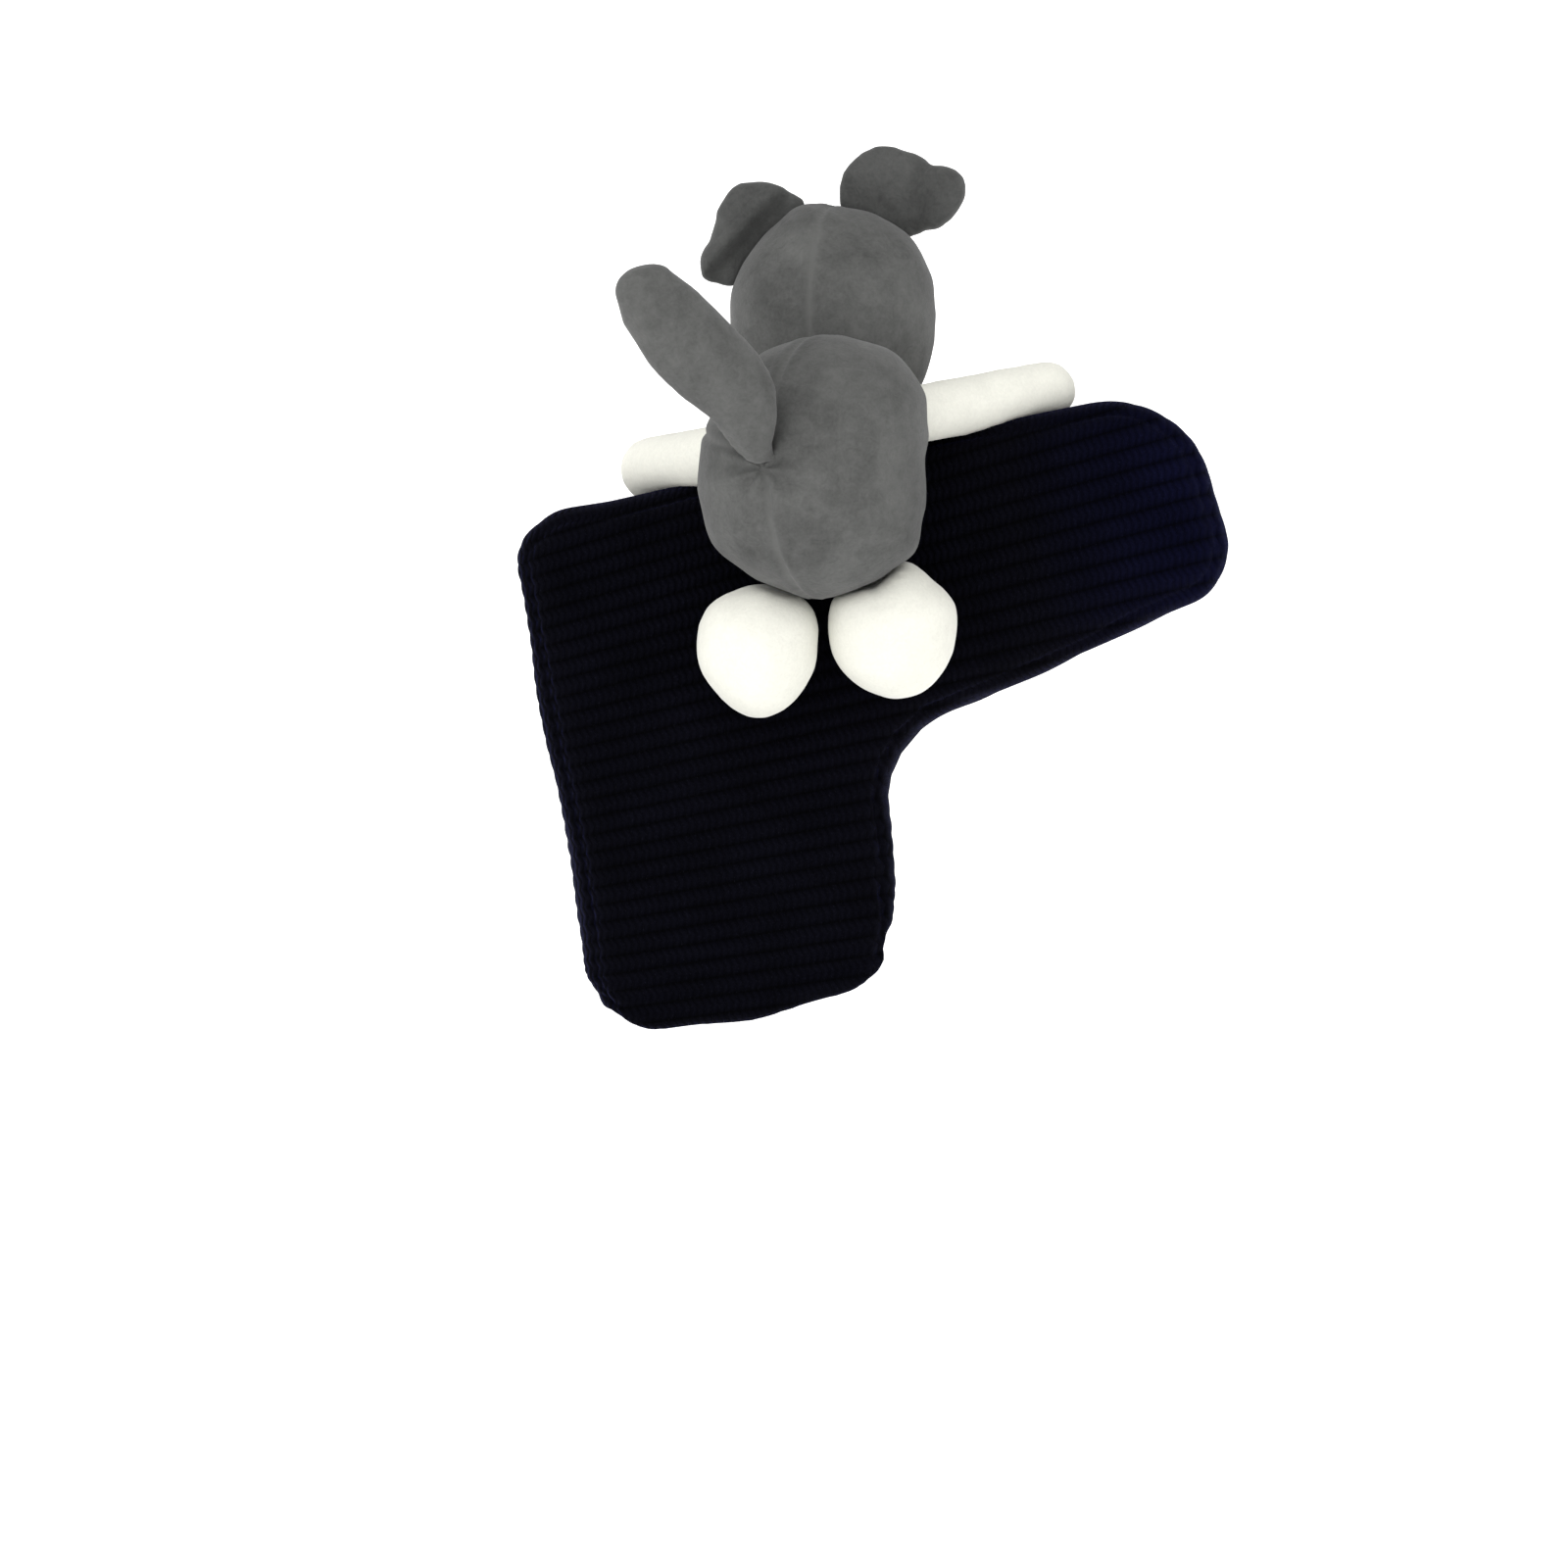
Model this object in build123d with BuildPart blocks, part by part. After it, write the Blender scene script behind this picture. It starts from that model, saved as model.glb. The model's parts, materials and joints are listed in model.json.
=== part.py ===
"""Putter head cover: a padded, ribbed knit boot that pulls over a blade putter's head from the
mouth at its base, with a plush puppy stitched on so that it hangs on one face, lays its arms
along the sole edge and looks over the top.

Frame: +Z runs up the golf shaft into the cover, the origin is on the shaft's axis in the plane of
the mouth, +X points to the toe and the puppy hangs on the -Y face. Millimetres throughout.
"""

from build123d import *
import math
import os

# ---------------------------------------------------------------- cover sizes
lean = 11.5  # slope of the mouth and the sole edge against square to the shaft, degrees
cover_height = 120.0  # mouth to sole edge
cover_thickness = 36.0
edge_round = 11.0  # rounding of the long edges, where the two knit panels meet
mouth_width = 70.0  # across the mouth, heel side to toe side
shaft_to_toe_side = 24.0  # from the shaft's axis to the toe side of the mouth
heel_flare = 4.0  # the heel edge leans in by this much from mouth to sole
toe_reach = 116.0  # from the shaft's axis to the toe end
toe_end_height = 47.0  # sole edge to the toe's lower corner
toe_root_height = 66.0  # sole edge to the corner under the toe
toe_root_step = 7.0  # the neck widens by this much up to that corner
heel_corner_round = 13.0
toe_upper_round = 25.0
toe_lower_round = 14.0
toe_root_round = 22.0
below_mouth = 20.0  # how far the forms run on below the mouth before they are cut off

# ---------------------------------------------------------------- cover walls
knit_wall = 2.0
padding_wall = 3.0
lining_wall = 1.0
hem_height = 7.0
elastic_height = 3.4
elastic_thickness = 1.6

# ---------------------------------------------------------------- puppy sizes
plush_wall = 1.2
gather_radius = 1.0  # where the panels of a stuffed form are gathered flat at its ends
swivel_gap = 0.4  # between two pieces that move on each other
body_radius = 26.0
body_half_height = 29.5
body_right_of_shaft = 4.4
body_below_sole = 2.9  # the body's middle lies this far under the sole edge
body_press = 7.0  # depth of the belly that is pressed flat on the cover
body_twist = 26.0  # the back seam is turned this far from straight back, degrees
belly_seam_forward = 6.0  # from the body's axis to the seam round the belly panel

head_radius = 23.0
head_half_height = 26.5
head_right_of_shaft = 8.4
head_over_sole = 28.6  # from the sole edge up to the head's middle
head_set_back = 2.0  # the head's middle lies this far to the puppy's side of the sole edge
head_twist = 14.0
face_seam_forward = 7.0

foot_radius = 14.0
foot_half_height = 16.3
foot_press = 2.0  # how much of its radius the foot's back is flattened by
left_foot_place = (-13.0, 11.6)  # across, and down from the body's lowest point
right_foot_place = (17.6, 6.3)

arm_radius = 6.8
arm_press = 1.3  # how deep the arm's underside is flattened on the sole edge
shoulder_forward = 13.0  # from the body's axis towards the cover
left_shoulder_across = -18.0
right_shoulder_across = 18.0
left_hand_across = -34.5
right_hand_across = 52.0
left_hand_over = 7.0  # how far past the cover's middle plane the hand lies
right_hand_over = 1.0

tail_length = 54.0
tail_radius = 8.6
tail_root_radius = 2.2
tail_neck_at = 0.24  # share of the length where the tail has narrowed towards its seam
tail_neck_share = 0.70  # and its radius there, as a share of the thickest
tail_swell_at = 0.6  # share of the length where the tail is thickest
tail_lean = 30.0  # degrees to the heel side of straight up
tail_tilt = 13.0  # degrees out from the back
tail_root_drop = 1.0  # below the body's middle
tail_root_lift = 2.4  # the tail's axis starts this far off the body

ear_thickness = 5.0
ear_edge_round = 2.2
ear_corner_round = 2.6  # where the lobe's outline meets the seam on the head
ear_outlines = {
    # the two ends of the seam on the head, then the lobe's outline from one end to the other,
    # each as (degrees round from the toe side, how far out from the head)
    "left": (106, 160, [(114.7, 8.0), (127.8, 12.0), (137.8, 11.4), (154.5, 9.7), (162.1, 5.8)]),
    "right": (38, 84, [(39.7, 10.1), (44.8, 16.8), (57.5, 16.9), (73.8, 14.4), (83.0, 6.5)]),
}
ear_forward = 6.0  # the ears are sewn in this far to the face side of the head's middle

muzzle_radius = 9.5
muzzle_drop = 8.0
muzzle_forward = 18.0
eye_radius = 2.7
eye_spread = 24.0  # degrees each side of straight ahead
eye_lift = 12.0  # degrees above the head's middle
nose_radius = 3.4
nose_lift = 22.0
button_flat = 0.12  # flat on top of a button's dome, as a share of its radius
stem_radius = 1.0
stem_length = 5.0
nose_stem_length = 3.4
washer_radius = 3.0
washer_thickness = 1.0
washer_clearance = 0.3  # behind the face panel

# ---------------------------------------------------------------- planes and places
slope, rise = math.cos(math.radians(lean)), math.sin(math.radians(lean))
wall = knit_wall + padding_wall + lining_wall
face_plane = Plane(origin=(0, 0, 0), x_dir=(slope, 0, rise), z_dir=(0, -1, 0))
mouth_plane = Plane(origin=(0, 0, 0), x_dir=(slope, 0, rise), z_dir=(-rise, 0, slope))
middle_plane = Plane.XZ  # its normal points to the puppy's side


def sole_height(across):
    """Height of the sole edge above the mouth's centre, at a distance from the shaft's axis."""
    return (cover_height + across * rise) / slope


body_centre = Vector(
    body_right_of_shaft,
    -(cover_thickness / 2 + body_radius - body_press),
    sole_height(body_right_of_shaft) - body_below_sole,
)
head_centre = Vector(
    head_right_of_shaft, -head_set_back, sole_height(head_right_of_shaft) + head_over_sole
)
body_foot = body_centre - Vector(0, 0, body_half_height)


def turned(degrees):
    """A level direction: straight ahead, away from the puppy's back, turned to the toe side."""
    return Vector(math.sin(math.radians(degrees)), math.cos(math.radians(degrees)), 0)


# ---------------------------------------------------------------- shared forms
def cover_form(inset):
    """The boot's solid outline, taken in all round by inset and running on below the mouth."""
    heel_slant = heel_flare / cover_height
    corners = [
        (shaft_to_toe_side - mouth_width - heel_slant * below_mouth, -below_mouth),
        (shaft_to_toe_side - mouth_width + heel_flare, cover_height),
        (toe_reach - 1, cover_height),
        (toe_reach + 2, cover_height - toe_end_height),
        (shaft_to_toe_side + toe_root_step, cover_height - toe_root_height),
        (shaft_to_toe_side - 1, -below_mouth),
    ]
    rounds = [0, heel_corner_round, toe_upper_round, toe_lower_round, toe_root_round, 0]
    with BuildPart() as form:
        with BuildSketch(face_plane):
            with BuildLine():
                FilletPolyline(*corners, radius=rounds, close=True)
            make_face()
            if inset:
                offset(amount=-inset, kind=Kind.INTERSECTION)
        extrude(amount=cover_thickness / 2 - inset, both=True)
        fillet(form.faces().filter_by(Axis.Y).edges(), radius=edge_round - inset)
    return form.part


def upright_spheroid(centre, radius, half_height):
    """A spheroid about the upright line through its centre, gathered flat at both ends."""
    end_angle = math.degrees(math.acos(gather_radius / radius))
    end_height = half_height * math.sin(math.radians(end_angle))
    with BuildPart() as form:
        with BuildSketch(Plane(origin=centre, x_dir=(1, 0, 0), z_dir=(0, -1, 0))):
            with BuildLine():
                EllipticalCenterArc(
                    (0, 0), radius, half_height, start_angle=-end_angle, arc_size=2 * end_angle
                )
                Polyline(
                    (gather_radius, end_height),
                    (0, end_height),
                    (0, -end_height),
                    (gather_radius, -end_height),
                )
            make_face()
        revolve(axis=Axis(centre, (0, 0, 1)))
    return form.part


def head_form(inset):
    return upright_spheroid(head_centre, head_radius - inset, head_half_height - inset)


def body_form(inset):
    """The body, flat where the belly lies on the cover and dished where the head nests in it."""
    with BuildPart() as form:
        add(upright_spheroid(body_centre, body_radius - inset, body_half_height - inset))
        add(cover_form(-inset), mode=Mode.SUBTRACT)
        add(head_form(-inset - swivel_gap), mode=Mode.SUBTRACT)
    return form.part


def foot_centre(place):
    across, down = place
    return Vector(
        body_foot.X + across,
        -(cover_thickness / 2 + swivel_gap + foot_radius - foot_press),
        body_foot.Z - down,
    )


def foot_form(place, inset):
    """A foot, its back flat towards the cover and its top hollowed to clear the body."""
    centre = foot_centre(place)
    back = cover_thickness / 2 + swivel_gap + inset
    with BuildPart() as form:
        add(upright_spheroid(centre, foot_radius - inset, foot_half_height - inset))
        split(bisect_by=Plane.XZ.offset(back), keep=Keep.TOP)
        gap = swivel_gap + inset
        add(
            upright_spheroid(body_centre, body_radius + gap, body_half_height + gap),
            mode=Mode.SUBTRACT,
        )
    return form.part


def arm_form(shoulder_across, hand_across, hand_over, inset):
    """A round-ended arm from the shoulder to the hand, flattened where it lies on the cover."""
    shoulder_x = body_centre.X + shoulder_across
    hand_x = body_centre.X + hand_across
    lift = arm_radius - arm_press
    shoulder = Vector(shoulder_x, body_centre.Y + shoulder_forward, sole_height(shoulder_x) + lift)
    hand = Vector(hand_x, hand_over, sole_height(hand_x) + lift)
    along = hand - shoulder
    radius = arm_radius - inset
    arm_plane = Plane(origin=shoulder, x_dir=along, z_dir=along.cross(Vector(0, 0, 1)))
    with BuildPart() as form:
        with BuildSketch(arm_plane):
            with BuildLine():
                CenterArc((0, 0), radius, 90, 90)
                Line((0, radius), (along.length, radius))
                CenterArc((along.length, 0), radius, 0, 90)
                Line((along.length + radius, 0), (-radius, 0))
            make_face()
        revolve(axis=Axis(shoulder, along))
        add(cover_form(-inset), mode=Mode.SUBTRACT)
        add(
            upright_spheroid(body_centre, body_radius + inset, body_half_height + inset),
            mode=Mode.SUBTRACT,
        )
        add(head_form(-inset - swivel_gap), mode=Mode.SUBTRACT)
    return form.part


tail_root = (
    body_centre - turned(body_twist) * (body_radius + tail_root_lift) - Vector(0, 0, tail_root_drop)
)
tail_up = Vector(
    -math.sin(math.radians(tail_lean)) * math.cos(math.radians(tail_tilt)),
    -math.sin(math.radians(tail_tilt)),
    math.cos(math.radians(tail_lean)) * math.cos(math.radians(tail_tilt)),
)
tail_across = tail_up.cross(Vector(0, -1, 0))
tail_plane = Plane(origin=tail_root, x_dir=tail_up, z_dir=tail_across.cross(tail_up))


def tail_form(inset):
    """A stuffed tail, pinched where it is sewn to the back and round at the tip."""
    radius = tail_radius - inset
    neck_radius = tail_radius * tail_neck_share - inset
    root_radius = tail_root_radius - inset / 2
    tip_radius = radius * 0.86
    tip_centre = tail_length - tip_radius - inset
    with BuildPart() as form:
        with BuildSketch(tail_plane):
            with BuildLine():
                Line((inset, 0), (inset, root_radius))
                Spline(
                    (inset, root_radius),
                    (tail_length * tail_neck_at, neck_radius),
                    (tail_length * tail_swell_at, radius),
                    (tip_centre, tip_radius),
                    tangents=[(1, 0.4), (1, 0)],
                )
                CenterArc((tip_centre, 0), tip_radius, 0, 90)
                Line((tail_length - inset, 0), (inset, 0))
            make_face()
        revolve(axis=Axis(tail_root, tail_up))
        gap = swivel_gap + inset
        add(
            upright_spheroid(body_centre, body_radius + gap, body_half_height + gap),
            mode=Mode.SUBTRACT,
        )
    return form.part


# ---------------------------------------------------------------- writing
os.makedirs("parts", exist_ok=True)


def finish(part, name):
    """Labels a finished piece and writes it as parts/NAME.step."""
    part.label = name
    export_step(part, f"parts/{name}.step")
    print(name, len(part.solids()), "solid(s)", round(part.volume), "mm3")


def half_shell(outer, inner, cut, keep):
    """One panel of a skin: the wall between two forms, on one side of a seam plane."""
    with BuildPart() as panel:
        add(outer)
        add(inner, mode=Mode.SUBTRACT)
        split(bisect_by=cut, keep=keep)
    return panel.part


# ---------------------------------------------------------------- the boot
layer_names = ["knit", "padding", "lining"]
layer_walls = [knit_wall, padding_wall, lining_wall]
depth = 0.0
cover_forms = {0.0: cover_form(0.0)}
for layer_wall in layer_walls:
    depth += layer_wall
    cover_forms[depth] = cover_form(depth)
depths = sorted(cover_forms)

for name, outer_depth, inner_depth in zip(layer_names, depths, depths[1:]):
    for side, keep in (("front", Keep.TOP), ("back", Keep.BOTTOM)):
        with BuildPart() as cover_panel:
            add(cover_forms[outer_depth])
            add(cover_forms[inner_depth], mode=Mode.SUBTRACT)
            split(bisect_by=mouth_plane.offset(hem_height), keep=Keep.TOP)
            split(bisect_by=middle_plane, keep=keep)
        finish(cover_panel.part, f"{name}_{side}_panel")

elastic_depth = (wall - elastic_thickness) / 2
elastic_base = (hem_height - elastic_height) / 2
with BuildPart() as hem_elastic:
    add(cover_form(elastic_depth))
    add(cover_form(elastic_depth + elastic_thickness), mode=Mode.SUBTRACT)
    split(bisect_by=mouth_plane.offset(elastic_base), keep=Keep.TOP)
    split(bisect_by=mouth_plane.offset(elastic_base + elastic_height), keep=Keep.BOTTOM)
finish(hem_elastic.part, "hem_elastic")

for side, keep in (("front", Keep.TOP), ("back", Keep.BOTTOM)):
    with BuildPart() as hem_band:
        add(cover_forms[0.0])
        add(cover_forms[wall], mode=Mode.SUBTRACT)
        split(bisect_by=mouth_plane, keep=Keep.TOP)
        split(bisect_by=mouth_plane.offset(hem_height), keep=Keep.BOTTOM)
        add(hem_elastic.part, mode=Mode.SUBTRACT)
        split(bisect_by=middle_plane, keep=keep)
    finish(hem_band.part, f"hem_band_{side}")

# ---------------------------------------------------------------- the puppy's body
body_outer, body_inner = body_form(0.0), body_form(plush_wall)
belly_plane = Plane.XZ.offset(-(body_centre.Y + belly_seam_forward))
back_seam_plane = Plane(origin=body_centre, z_dir=turned(body_twist).cross(Vector(0, 0, 1)))

with BuildPart() as belly_panel:
    add(half_shell(body_outer, body_inner, belly_plane, Keep.BOTTOM))
finish(belly_panel.part, "belly_panel")

for side, keep in (("left", Keep.BOTTOM), ("right", Keep.TOP)):
    with BuildPart() as back_panel:
        add(half_shell(body_outer, body_inner, belly_plane, Keep.TOP))
        split(bisect_by=back_seam_plane, keep=keep)
    finish(back_panel.part, f"body_{side}_panel")

with BuildPart() as body_stuffing:
    add(body_inner)
finish(body_stuffing.part, "body_stuffing")

# ---------------------------------------------------------------- feet, arms and tail
for side, place in (("left", left_foot_place), ("right", right_foot_place)):
    foot_outer, foot_inner = foot_form(place, 0.0), foot_form(place, plush_wall)
    sole_seam = Plane.XZ.offset(-foot_centre(place).Y)
    for piece, keep in (("sole_panel", Keep.TOP), ("heel_panel", Keep.BOTTOM)):
        with BuildPart() as foot_panel:
            add(half_shell(foot_outer, foot_inner, sole_seam, keep))
        finish(foot_panel.part, f"foot_{side}_{piece}")
    with BuildPart() as foot_stuffing:
        add(foot_inner)
    finish(foot_stuffing.part, f"foot_{side}_stuffing")

arm_places = {
    "left": (left_shoulder_across, left_hand_across, left_hand_over),
    "right": (right_shoulder_across, right_hand_across, right_hand_over),
}
for side, (shoulder_across, hand_across, hand_over) in arm_places.items():
    arm_outer = arm_form(shoulder_across, hand_across, hand_over, 0.0)
    arm_inner = arm_form(shoulder_across, hand_across, hand_over, plush_wall)
    arm_middle_x = body_centre.X + (shoulder_across + hand_across) / 2
    arm_seam = Plane(
        origin=(arm_middle_x, 0, sole_height(arm_middle_x) + arm_radius - arm_press),
        x_dir=(slope, 0, rise),
        z_dir=(-rise, 0, slope),
    )
    for piece, keep in (("upper_panel", Keep.TOP), ("lower_panel", Keep.BOTTOM)):
        with BuildPart() as arm_panel:
            add(half_shell(arm_outer, arm_inner, arm_seam, keep))
        finish(arm_panel.part, f"arm_{side}_{piece}")
    with BuildPart() as arm_stuffing:
        add(arm_inner)
    finish(arm_stuffing.part, f"arm_{side}_stuffing")

tail_outer, tail_inner = tail_form(0.0), tail_form(plush_wall)
for piece, keep in (("back_panel", Keep.TOP), ("front_panel", Keep.BOTTOM)):
    with BuildPart() as tail_panel:
        add(half_shell(tail_outer, tail_inner, tail_plane, keep))
    finish(tail_panel.part, f"tail_{piece}")
with BuildPart() as tail_stuffing:
    add(tail_inner)
finish(tail_stuffing.part, "tail_stuffing")


# ---------------------------------------------------------------- the head
def surface_plane(centre, radius, half_height, bearing, lift):
    """A plane that touches an upright spheroid, at a bearing and a lift in degrees."""
    level = turned(bearing) * math.cos(math.radians(lift))
    ray = level + Vector(0, 0, math.sin(math.radians(lift)))
    across = (ray.X**2 + ray.Y**2) / radius**2
    reach = 1 / math.sqrt(across + ray.Z**2 / half_height**2)
    normal = Vector(ray.X / radius**2, ray.Y / radius**2, ray.Z / half_height**2)
    return Plane(origin=centre + ray * reach, z_dir=normal)


def button(plane, radius, dome, depth):
    """A domed plastic button with a stem that runs in behind it, about the plane's normal."""
    flat = radius * button_flat
    end_angle = math.degrees(math.acos(button_flat))
    end_height = dome * math.sin(math.radians(end_angle))
    with BuildPart() as piece:
        with BuildSketch(Plane(origin=plane.origin, x_dir=plane.x_dir, z_dir=-plane.y_dir)):
            with BuildLine():
                EllipticalCenterArc((0, 0), radius, dome, start_angle=0, arc_size=end_angle)
                Polyline(
                    (flat, end_height),
                    (0, end_height),
                    (0, -depth),
                    (stem_radius, -depth),
                    (stem_radius, 0),
                    (radius, 0),
                )
            make_face()
        revolve(axis=Axis(plane.origin, plane.z_dir))
    return piece.part


def washer_form(plane, hole):
    """The disc that is pushed on a stem behind the face panel, with or without its hole."""
    behind = plush_wall + washer_clearance
    with BuildPart() as piece:
        with BuildSketch(plane.offset(-behind - washer_thickness)):
            Circle(washer_radius)
            if hole:
                Circle(stem_radius, mode=Mode.SUBTRACT)
        extrude(amount=washer_thickness)
    return piece.part


eye_planes = {
    side: surface_plane(
        head_centre, head_radius, head_half_height, head_twist + bearing, eye_lift
    )
    for side, bearing in (("left", -eye_spread), ("right", eye_spread))
}
eyes = {
    side: button(plane, eye_radius, eye_radius * 0.8, stem_length)
    for side, plane in eye_planes.items()
}

muzzle_centre = head_centre + turned(head_twist) * muzzle_forward - Vector(0, 0, muzzle_drop)
nose_plane = surface_plane(muzzle_centre, muzzle_radius, muzzle_radius, head_twist, nose_lift)
nose = button(nose_plane, nose_radius, nose_radius * 0.7, nose_stem_length)

head_outer, head_inner = head_form(0.0), head_form(plush_wall)
forward = turned(head_twist)
face_seam = Plane(origin=head_centre + forward * face_seam_forward, z_dir=forward)
crown_seam = Plane(origin=head_centre, z_dir=forward.cross(Vector(0, 0, 1)))

with BuildPart() as face_panel:
    add(half_shell(head_outer, head_inner, face_seam, Keep.TOP))
    for eye in eyes.values():
        add(eye, mode=Mode.SUBTRACT)
finish(face_panel.part, "face_panel")

for side, keep in (("left", Keep.BOTTOM), ("right", Keep.TOP)):
    with BuildPart() as crown_panel:
        add(half_shell(head_outer, head_inner, face_seam, Keep.BOTTOM))
        split(bisect_by=crown_seam, keep=keep)
    finish(crown_panel.part, f"head_{side}_panel")

with BuildPart() as head_stuffing:
    add(head_inner)
    for side, plane in eye_planes.items():
        add(eyes[side], mode=Mode.SUBTRACT)
        add(washer_form(plane, hole=False), mode=Mode.SUBTRACT)
finish(head_stuffing.part, "head_stuffing")

with BuildPart() as muzzle_pad:
    add(upright_spheroid(muzzle_centre, muzzle_radius, muzzle_radius))
    add(head_outer, mode=Mode.SUBTRACT)
    add(nose, mode=Mode.SUBTRACT)
finish(muzzle_pad.part, "muzzle_pad")

finish(nose, "nose_button")
for side, eye in eyes.items():
    finish(eye, f"eye_{side}_button")

with BuildPart() as eye_washers:
    for plane in eye_planes.values():
        add(washer_form(plane, hole=True))
finish(eye_washers.part, "eye_washers")


# ---------------------------------------------------------------- the ears
ear_y = head_centre.Y + ear_forward
nearest_section = math.sqrt(1 - ((ear_forward - ear_thickness / 2) / head_radius) ** 2)


def ear_point(bearing, reach):
    """A point round the head's middle, reach out from the seam the ear is sewn along."""
    out = swivel_gap + reach
    return (
        (head_radius * nearest_section + out) * math.cos(math.radians(bearing)),
        (head_half_height * nearest_section + out) * math.sin(math.radians(bearing)),
    )


for side, (root_start, root_end, lobe) in ear_outlines.items():
    ear_plane = Plane(
        origin=(head_centre.X, ear_y, head_centre.Z), x_dir=(1, 0, 0), z_dir=(0, -1, 0)
    )
    root_middle = (root_start + root_end) / 2
    corners = [ear_point(root_start, 0), ear_point(root_end, 0)]
    with BuildPart() as ear:
        with BuildSketch(ear_plane) as ear_sketch:
            with BuildLine():
                ThreePointArc(corners[0], ear_point(root_middle, 0), corners[1])
                Spline(corners[0], *[ear_point(*point) for point in lobe], corners[1])
            make_face()
            fillet(ear_sketch.vertices(), radius=ear_corner_round)
        extrude(amount=ear_thickness / 2, both=True)
        fillet(ear.faces().filter_by(Axis.Y).edges(), radius=ear_edge_round)
    for piece, keep in (("outer_layer", Keep.TOP), ("inner_layer", Keep.BOTTOM)):
        with BuildPart() as ear_layer:
            add(ear.part)
            split(bisect_by=ear_plane, keep=keep)
        finish(ear_layer.part, f"ear_{side}_{piece}")
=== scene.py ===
"""Putter head cover: a padded rib-knit boot with a plush puppy sewn over its sole edge.

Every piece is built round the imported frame, in metres, and each operator makes one piece or one
group of like pieces. Run as a script, it makes them all in order.
"""
import json
import math

import bmesh
import bpy
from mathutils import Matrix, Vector, noise
from mathutils.bvhtree import BVHTree


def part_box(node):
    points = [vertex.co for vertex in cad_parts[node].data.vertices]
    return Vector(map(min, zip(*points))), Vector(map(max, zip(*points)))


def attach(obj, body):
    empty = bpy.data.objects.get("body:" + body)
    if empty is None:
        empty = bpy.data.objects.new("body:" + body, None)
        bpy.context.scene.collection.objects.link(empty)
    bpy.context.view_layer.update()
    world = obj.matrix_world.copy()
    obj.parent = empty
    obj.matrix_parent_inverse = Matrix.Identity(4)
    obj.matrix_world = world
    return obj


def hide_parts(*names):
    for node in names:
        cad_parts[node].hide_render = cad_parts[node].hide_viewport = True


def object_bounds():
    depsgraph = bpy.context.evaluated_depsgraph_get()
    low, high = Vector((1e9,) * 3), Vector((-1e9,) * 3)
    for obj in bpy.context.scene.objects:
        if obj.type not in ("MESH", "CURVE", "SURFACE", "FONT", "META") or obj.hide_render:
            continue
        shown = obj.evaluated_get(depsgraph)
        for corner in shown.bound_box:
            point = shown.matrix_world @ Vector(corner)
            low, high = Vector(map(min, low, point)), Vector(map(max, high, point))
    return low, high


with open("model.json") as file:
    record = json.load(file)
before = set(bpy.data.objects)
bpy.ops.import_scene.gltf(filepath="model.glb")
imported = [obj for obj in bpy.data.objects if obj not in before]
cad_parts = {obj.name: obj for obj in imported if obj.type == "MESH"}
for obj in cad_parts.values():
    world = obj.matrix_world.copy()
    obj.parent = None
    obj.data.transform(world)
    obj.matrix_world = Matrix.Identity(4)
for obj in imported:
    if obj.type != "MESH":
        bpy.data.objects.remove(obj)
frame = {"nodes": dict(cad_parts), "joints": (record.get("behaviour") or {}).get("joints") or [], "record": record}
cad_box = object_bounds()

bl_info = {
    "name": "Putter Head Cover",
    "version": (1, 0, 0),
    "blender": (4, 5, 0),
    "location": "3D View > Sidebar > Head Cover",
    "description": "Makes a rib-knit putter head cover with a plush puppy",
    "category": "Object",
}

MM = 0.001
MOUTH_MOUNT = frame["record"]["mounts"][1]
LEAN = math.atan2(MOUTH_MOUNT["axis"][0], -MOUTH_MOUNT["axis"][2])
BLACK_TRIM = ("nose_button", "eye_left_button", "eye_right_button")


# ------------------------------------------------------------------ places taken from the frame
def joint_named(name):
    return next(j for j in frame["joints"] if j["name"] == name)


def nodes_box(*names):
    """Lowest and highest corner of several CAD nodes together."""
    corners = [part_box(name) for name in names]
    low = Vector([min(c[0][k] for c in corners) for k in range(3)])
    high = Vector([max(c[1][k] for c in corners) for k in range(3)])
    return low, high


def middle(*names):
    low, high = nodes_box(*names)
    return (low + high) / 2


BODY_PANELS = ("body_left_panel", "body_right_panel", "belly_panel")
HEAD_PANELS = ("head_left_panel", "head_right_panel", "face_panel")
HEAD_MIDDLE = Vector(joint_named("head_turn")["pos_m"])
TAIL_ROOT = Vector(joint_named("tail_wag")["pos_m"])
BODY_MIDDLE = middle(*BODY_PANELS)
BODY_HALF_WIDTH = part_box("body_right_panel")[1].x - BODY_MIDDLE.x
BODY_MIDDLE.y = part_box("body_right_panel")[0].y + BODY_HALF_WIDTH
MOUTH_AXIS = Vector((-math.sin(LEAN), 0, math.cos(LEAN)))  # up out of the mouth's plane
ALONG_RIBS = Vector((math.cos(LEAN), 0, math.sin(LEAN)))  # from heel to toe
BACK_TURN = math.radians(26)  # the body's back seam, off straight back
HEAD_BACK_TURN = math.radians(14)
PLUSH_WALL = 1.2 * MM
KNIT_WALL = 1.1 * MM
FACE_SEAM_FORWARD = 7 * MM  # the face panel's seam, in front of the head's middle
WHITE_NAP = {"cloud": 0.16, "grain": 0.09}  # white pile shows less of its lie than grey does
TAIL_ROOT_IN = 3.2 * MM  # how far the tail's sewn end runs into the back
GIRTH_STEPS = 24
NO_SEAM = 1.0  # a distance that is out of any seam's reach
FLOOR_DROP = 0.14  # the stage's floor, below the cover
FLOOR_RADIUS = 3.2
CAMERA_DISTANCE, CAMERA_WIDTH, CAMERA_SENSOR = 2.6, 0.352, 36


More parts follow.
